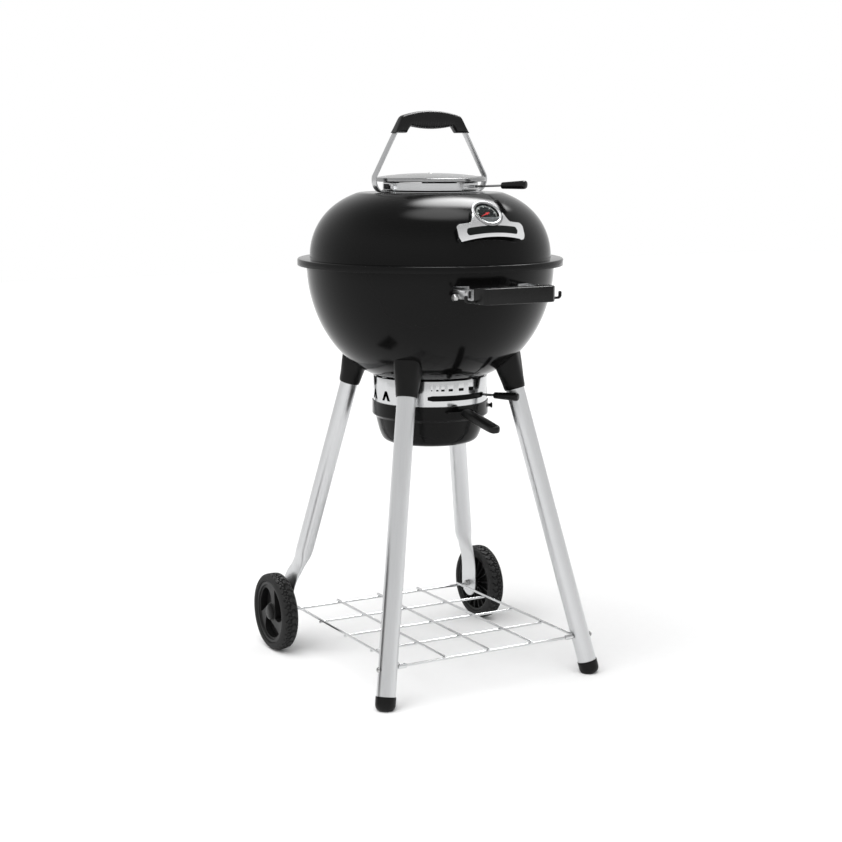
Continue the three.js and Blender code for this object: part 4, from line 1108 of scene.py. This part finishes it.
def swirl(turn):
    """One of the hub's swept windows, as (x, y) points."""
    swept = [(50.5, 73), (52, 48), (52, 20), (51, 0), (45, -12), (36, -22), (27, -30), (19.5, -34),
             (18.5, 0), (20, 30), (27, 54), (38, 68)]
    outline = [(-d * math.sin(math.radians(a)), d * math.cos(math.radians(a))) for d, a in swept]
    radii = [2.5, 9, 9, 6, 8, 9, 6, 1.6, 8, 8, 10, 10]
    spin = Matrix.Rotation(math.radians(turn), 2)
    return [tuple(spin @ Vector(p)) for p in fillet(outline, radii, 5)]


def build_wheel(sx, side):
    body = f"wheel_{side}"
    put = wheel_place(sx)
    build_tyre(sx, side)
    profile = fillet([(5.45, -12.8), (12.5, -12.8), (12.5, -3), (55.1, -3), (55.1, -13.4), (59.9, -13.4),
                      (59.9, 13.4), (57.2, 14.4), (54.2, 13.4), (53.6, 9.6), (17, 9.6), (16.4, 11.6),
                      (5.45, 11.6)], [0.5, 0.8, 1, 1, 0.8, 1, 0.8, 0.6, 1.2, 1.6, 1.2, 0.8, 0.3], 4)
    profile = [(r, min(z, 13.4)) for r, z in profile]
    hub = make("hub_disc_" + side, *lathe_data(profile, 160), 40)
    boolean(hub, joined([slab_data(swirl(a), -20, 30) for a in (0, 120, 240)]), crease=40)
    # it was cut about the kettle's axis, so that axis goes to the origin before the hub is turned and placed
    hub.data.transform(Matrix.Translation((0, -AXIS_Y, 0)))
    hub.data.transform(Matrix.Translation(place(put.to_translation())) @ put.to_3x3().to_4x4())
    shade(hub, 40)
    finish_piece(hub, "hub", body, f"hub_{side}")
    rib = box_data(13, 55.0, -0.9, 0.9, -11.5, -3.2)
    ribs = [moved(rib, put @ Matrix.Rotation(2 * math.pi * i / 18, 4, "Z")) for i in range(18)]
    web = lathe_data(fillet([(12.9, -3.4), (55.0, -3.4), (55.0, -4.6), (12.9, -4.6)], 0.2, 1), 96)
    ribs.append(moved(web, put))
    finish_piece(make("hub_ribs_" + side, *joined(ribs)), "hub", body)
    cap = fillet([(0, 12.7), (11.0, 12.7), (11.0, 11.7), (15.6, 11.7), (15.6, 13.2), (14.0, 15.6),
                  (9, 17.8), (0, 18.5)], [0, 0.2, 0.2, 0.6, 0.8, 2.0, 3.5, 0], 5, False)
    finish_piece(make("hub_dome_" + side, *moved(lathe_data(cap, 72), put)), "grip", body, f"hub_cap_{side}")
    bolt = fillet([(0, -34.8), (4.9, -34.8), (4.9, 12.1), (0, 12.1)], [0, 0.7, 0.7, 0], 3, False)
    axle = make("axle_" + side, *moved(lathe_data(bolt, 32), put))
    finish_piece(axle, "zinc", "stand", f"axle_bolt_{side}")
    keep_node(f"axle_nut_{side}", "zinc")


# ---------------------------------------------------------------- wire shelf
def build_shelf():
    half, z_top, rod, bars = 182.4, 75.0, 2.42, 5
    pieces = []
    for i in range(bars):
        x = -half + i * half * 2 / (bars - 1)
        over = 0 if i in (0, bars - 1) else 6
        pieces.append(rod_data((x, SHELF_FRONT - over, z_top), (x, SHELF_BACK + over, z_top), rod, 18))
        y = SHELF_FRONT + i * (SHELF_BACK - SHELF_FRONT) / (bars - 1)
        reach = 183 if i == 0 else (209.6 if i == bars - 1 else half + 2)
        pieces.append(rod_data((-reach, y, SHELF_Z), (reach, y, SHELF_Z), rod, 18))
    finish_piece(make("shelf_wires", *joined(pieces)), "wire", "stand", "wire_shelf")
    for s, side in SIDES:
        def along(*places):
            return [(s * x, SHELF_FRONT, SHELF_Z) for x in places]

        end = tube_data(along(168.2, 169, 184, 184.8), [3.9, 4.5, 4.5, 3.9], 28)
        finish_piece(make("shelf_end_" + side, *end), "wire", "stand")
        x = abs(leg_point(s, -1, SHELF_Z).x) + 17.25 + 1.6
        shank = tube_data(along(176, x - 0.2), 2.4, 20)
        head = tube_data(along(x - 0.2, x + 0.5, x + 2.4, x + 3.6, x + 4), [4.7, 4.95, 4.5, 3.0, 1.4], 32)
        bolt = make("shelf_bolt_head_" + side, *joined([shank, head]))
        finish_piece(bolt, "zinc", "stand", "shelf_bolt_" + side)


# ---------------------------------------------------------------- the object
build_lid()
build_vent()
build_cap()
lever("damper_lever", azimuth=30, z=898.5, rise=2.4, rod=(88, 185), rod_r=1.9, grip=(148.5, 197.5),
      body="lid_damper")
build_handle()
build_gauge()
keep_node("thermometer_nut", "zinc")
build_plaque()
build_bowl()
grate("cooking_rods", radius=218, rim_r=3.0, bar_r=1.9, z=737, pitch=13.2, cross=109,
      body="upper_grate", node="cooking_grate")
grate("charcoal_rods", radius=171, rim_r=3.5, bar_r=2.5, z=606.5, pitch=24.0, cross=85.5,
      body="lower_grate", node="charcoal_grate")
build_vent_ring()
lever("air_lever", azimuth=33, z=AIR_Z, rise=0.0, rod=(97, 170), rod_r=2.3, grip=(132.5, 181),
      body="bowl_damper")
build_pan()
build_front_handle()
for sx, side in SIDES:
    build_front_leg(sx, side)
    build_rear_leg(sx, side)
    build_socket(sx, -1, "front_" + side)
    build_socket(sx, 1, "rear_" + side)
    build_foot(sx, side)
    build_wheel(sx, side)
build_shelf()


# ---------------------------------------------------------------- floor, light and camera
def backdrop():
    n = Nodes("floor_pale")
    fine = n.noise(60.0, detail=3.0)
    n.set(color=n.blend(fine, grey(0.86), grey(0.88)), rough=0.8, spec=0.0)
    half, z = 9000, -0.4
    floor = make("floor", [(-half, -half, z), (half, -half, z), (half, half, z), (-half, half, z)],
                 [[0, 1, 2, 3]])
    floor.data.materials.append(n.mat)


def glow(tree, direction, centre, along, half_long, half_wide, strength):
    """A soft oval light in the surroundings, round a centre direction and drawn out along another."""
    centre = Vector(centre).normalized()
    u = (Vector(along) - centre * Vector(along).dot(centre)).normalized()

    def dot(vector):
        node = tree.add("ShaderNodeVectorMath", operation="DOT_PRODUCT")
        return tree.put(node, i0=direction, i1=vector).outputs["Value"]

    pu, pv = (tree.math("POWER", tree.math("ABSOLUTE", dot(axis)), 2.0)
              for axis in (u / half_long, centre.cross(u) / half_wide))
    light = tree.span(tree.math("ADD", pu, pv), 0.0, strength, 1.0, 0.1, "SMOOTHSTEP")
    return tree.math("MULTIPLY", light, tree.math("GREATER_THAN", dot(centre), 0.0))


def studio():
    """An even pale room, a soft key over the lid's shoulder and a narrow dark flag beside the left leg."""
    world = bpy.data.worlds.new("studio")
    world.use_nodes = True
    bpy.context.scene.world = world
    tree = Tree(world.node_tree)
    direction = tree.add("ShaderNodeTexCoord").outputs["Generated"]
    split = tree.put(tree.add("ShaderNodeSeparateXYZ"), i0=direction)
    room = tree.span(split.outputs[2], 0.8, 0.4, 0.4, 0.95, "SMOOTHSTEP")
    key = glow(tree, direction, centre=(0.42, 0.36, 0.83), along=(0.9, 0.08, -0.43),
               half_long=0.42, half_wide=0.25, strength=20.0)
    top = glow(tree, direction, centre=(0.1, -0.03, 0.98), along=(1.0, -0.35, 0.0),
               half_long=0.42, half_wide=0.3, strength=6.0)
    # the lamps are seen in reflections only, so that they throw no hard shadows
    path = tree.add("ShaderNodeLightPath")
    level = tree.math("MULTIPLY_ADD", tree.math("ADD", key, top), path.outputs["Is Glossy Ray"], room)
    lit = tree.put(tree.add("ShaderNodeBackground"), i0=level)
    seen = tree.put(tree.add("ShaderNodeBackground"), i0=(1, 1, 1, 1))
    mixer = tree.put(tree.add("ShaderNodeMixShader"), i0=path.outputs["Is Camera Ray"], i1=lit.outputs[0],
                     i2=seen.outputs[0])
    tree.link(mixer.outputs[0], tree.add("ShaderNodeOutputWorld").inputs[0])

    data = bpy.data.lights.new("sky_fill", "SUN")
    data.energy = 2.75
    data.angle = math.radians(70)
    fill = bpy.data.objects.new("sky_fill", data)
    fill.rotation_euler = (math.radians(12), math.radians(-28), 0)
    fill.visible_glossy = False
    bpy.context.scene.collection.objects.link(fill)

    n = Nodes("flag_black")
    n.set(color=n.blend(n.noise(3.0), grey(0.04), grey(0.06)), rough=0.9, spec=0.0)
    flag = make("flag_left", [(-471, -145, 0), (-409, 25, 0), (-355, 41, 290), (-417, -129, 290)],
                [[0, 1, 2, 3]])
    flag.data.materials.append(n.mat)
    for ray in ("camera", "diffuse", "shadow", "transmission"):
        setattr(flag, "visible_" + ray, False)


def camera():
    data = bpy.data.cameras.new("camera")
    data.sensor_width = 36.0
    data.lens = 70.903
    data.clip_end = 100.0
    obj = bpy.data.objects.new("camera", data)
    forward = Vector((0.4825, 0.8602, -0.16505)).normalized()
    right = forward.cross(Vector((0, 0, 1))).normalized()
    up = right.cross(forward)
    turn = Matrix((right, up, -forward)).transposed().to_4x4()
    obj.matrix_world = Matrix.Translation(place((-1517.33, -2670.39, 975.26))) @ turn
    bpy.context.scene.collection.objects.link(obj)
    bpy.context.scene.camera = obj


backdrop()
studio()
camera()
bpy.context.scene.view_settings.view_transform = "Standard"
bpy.context.scene.view_settings.look = "None"
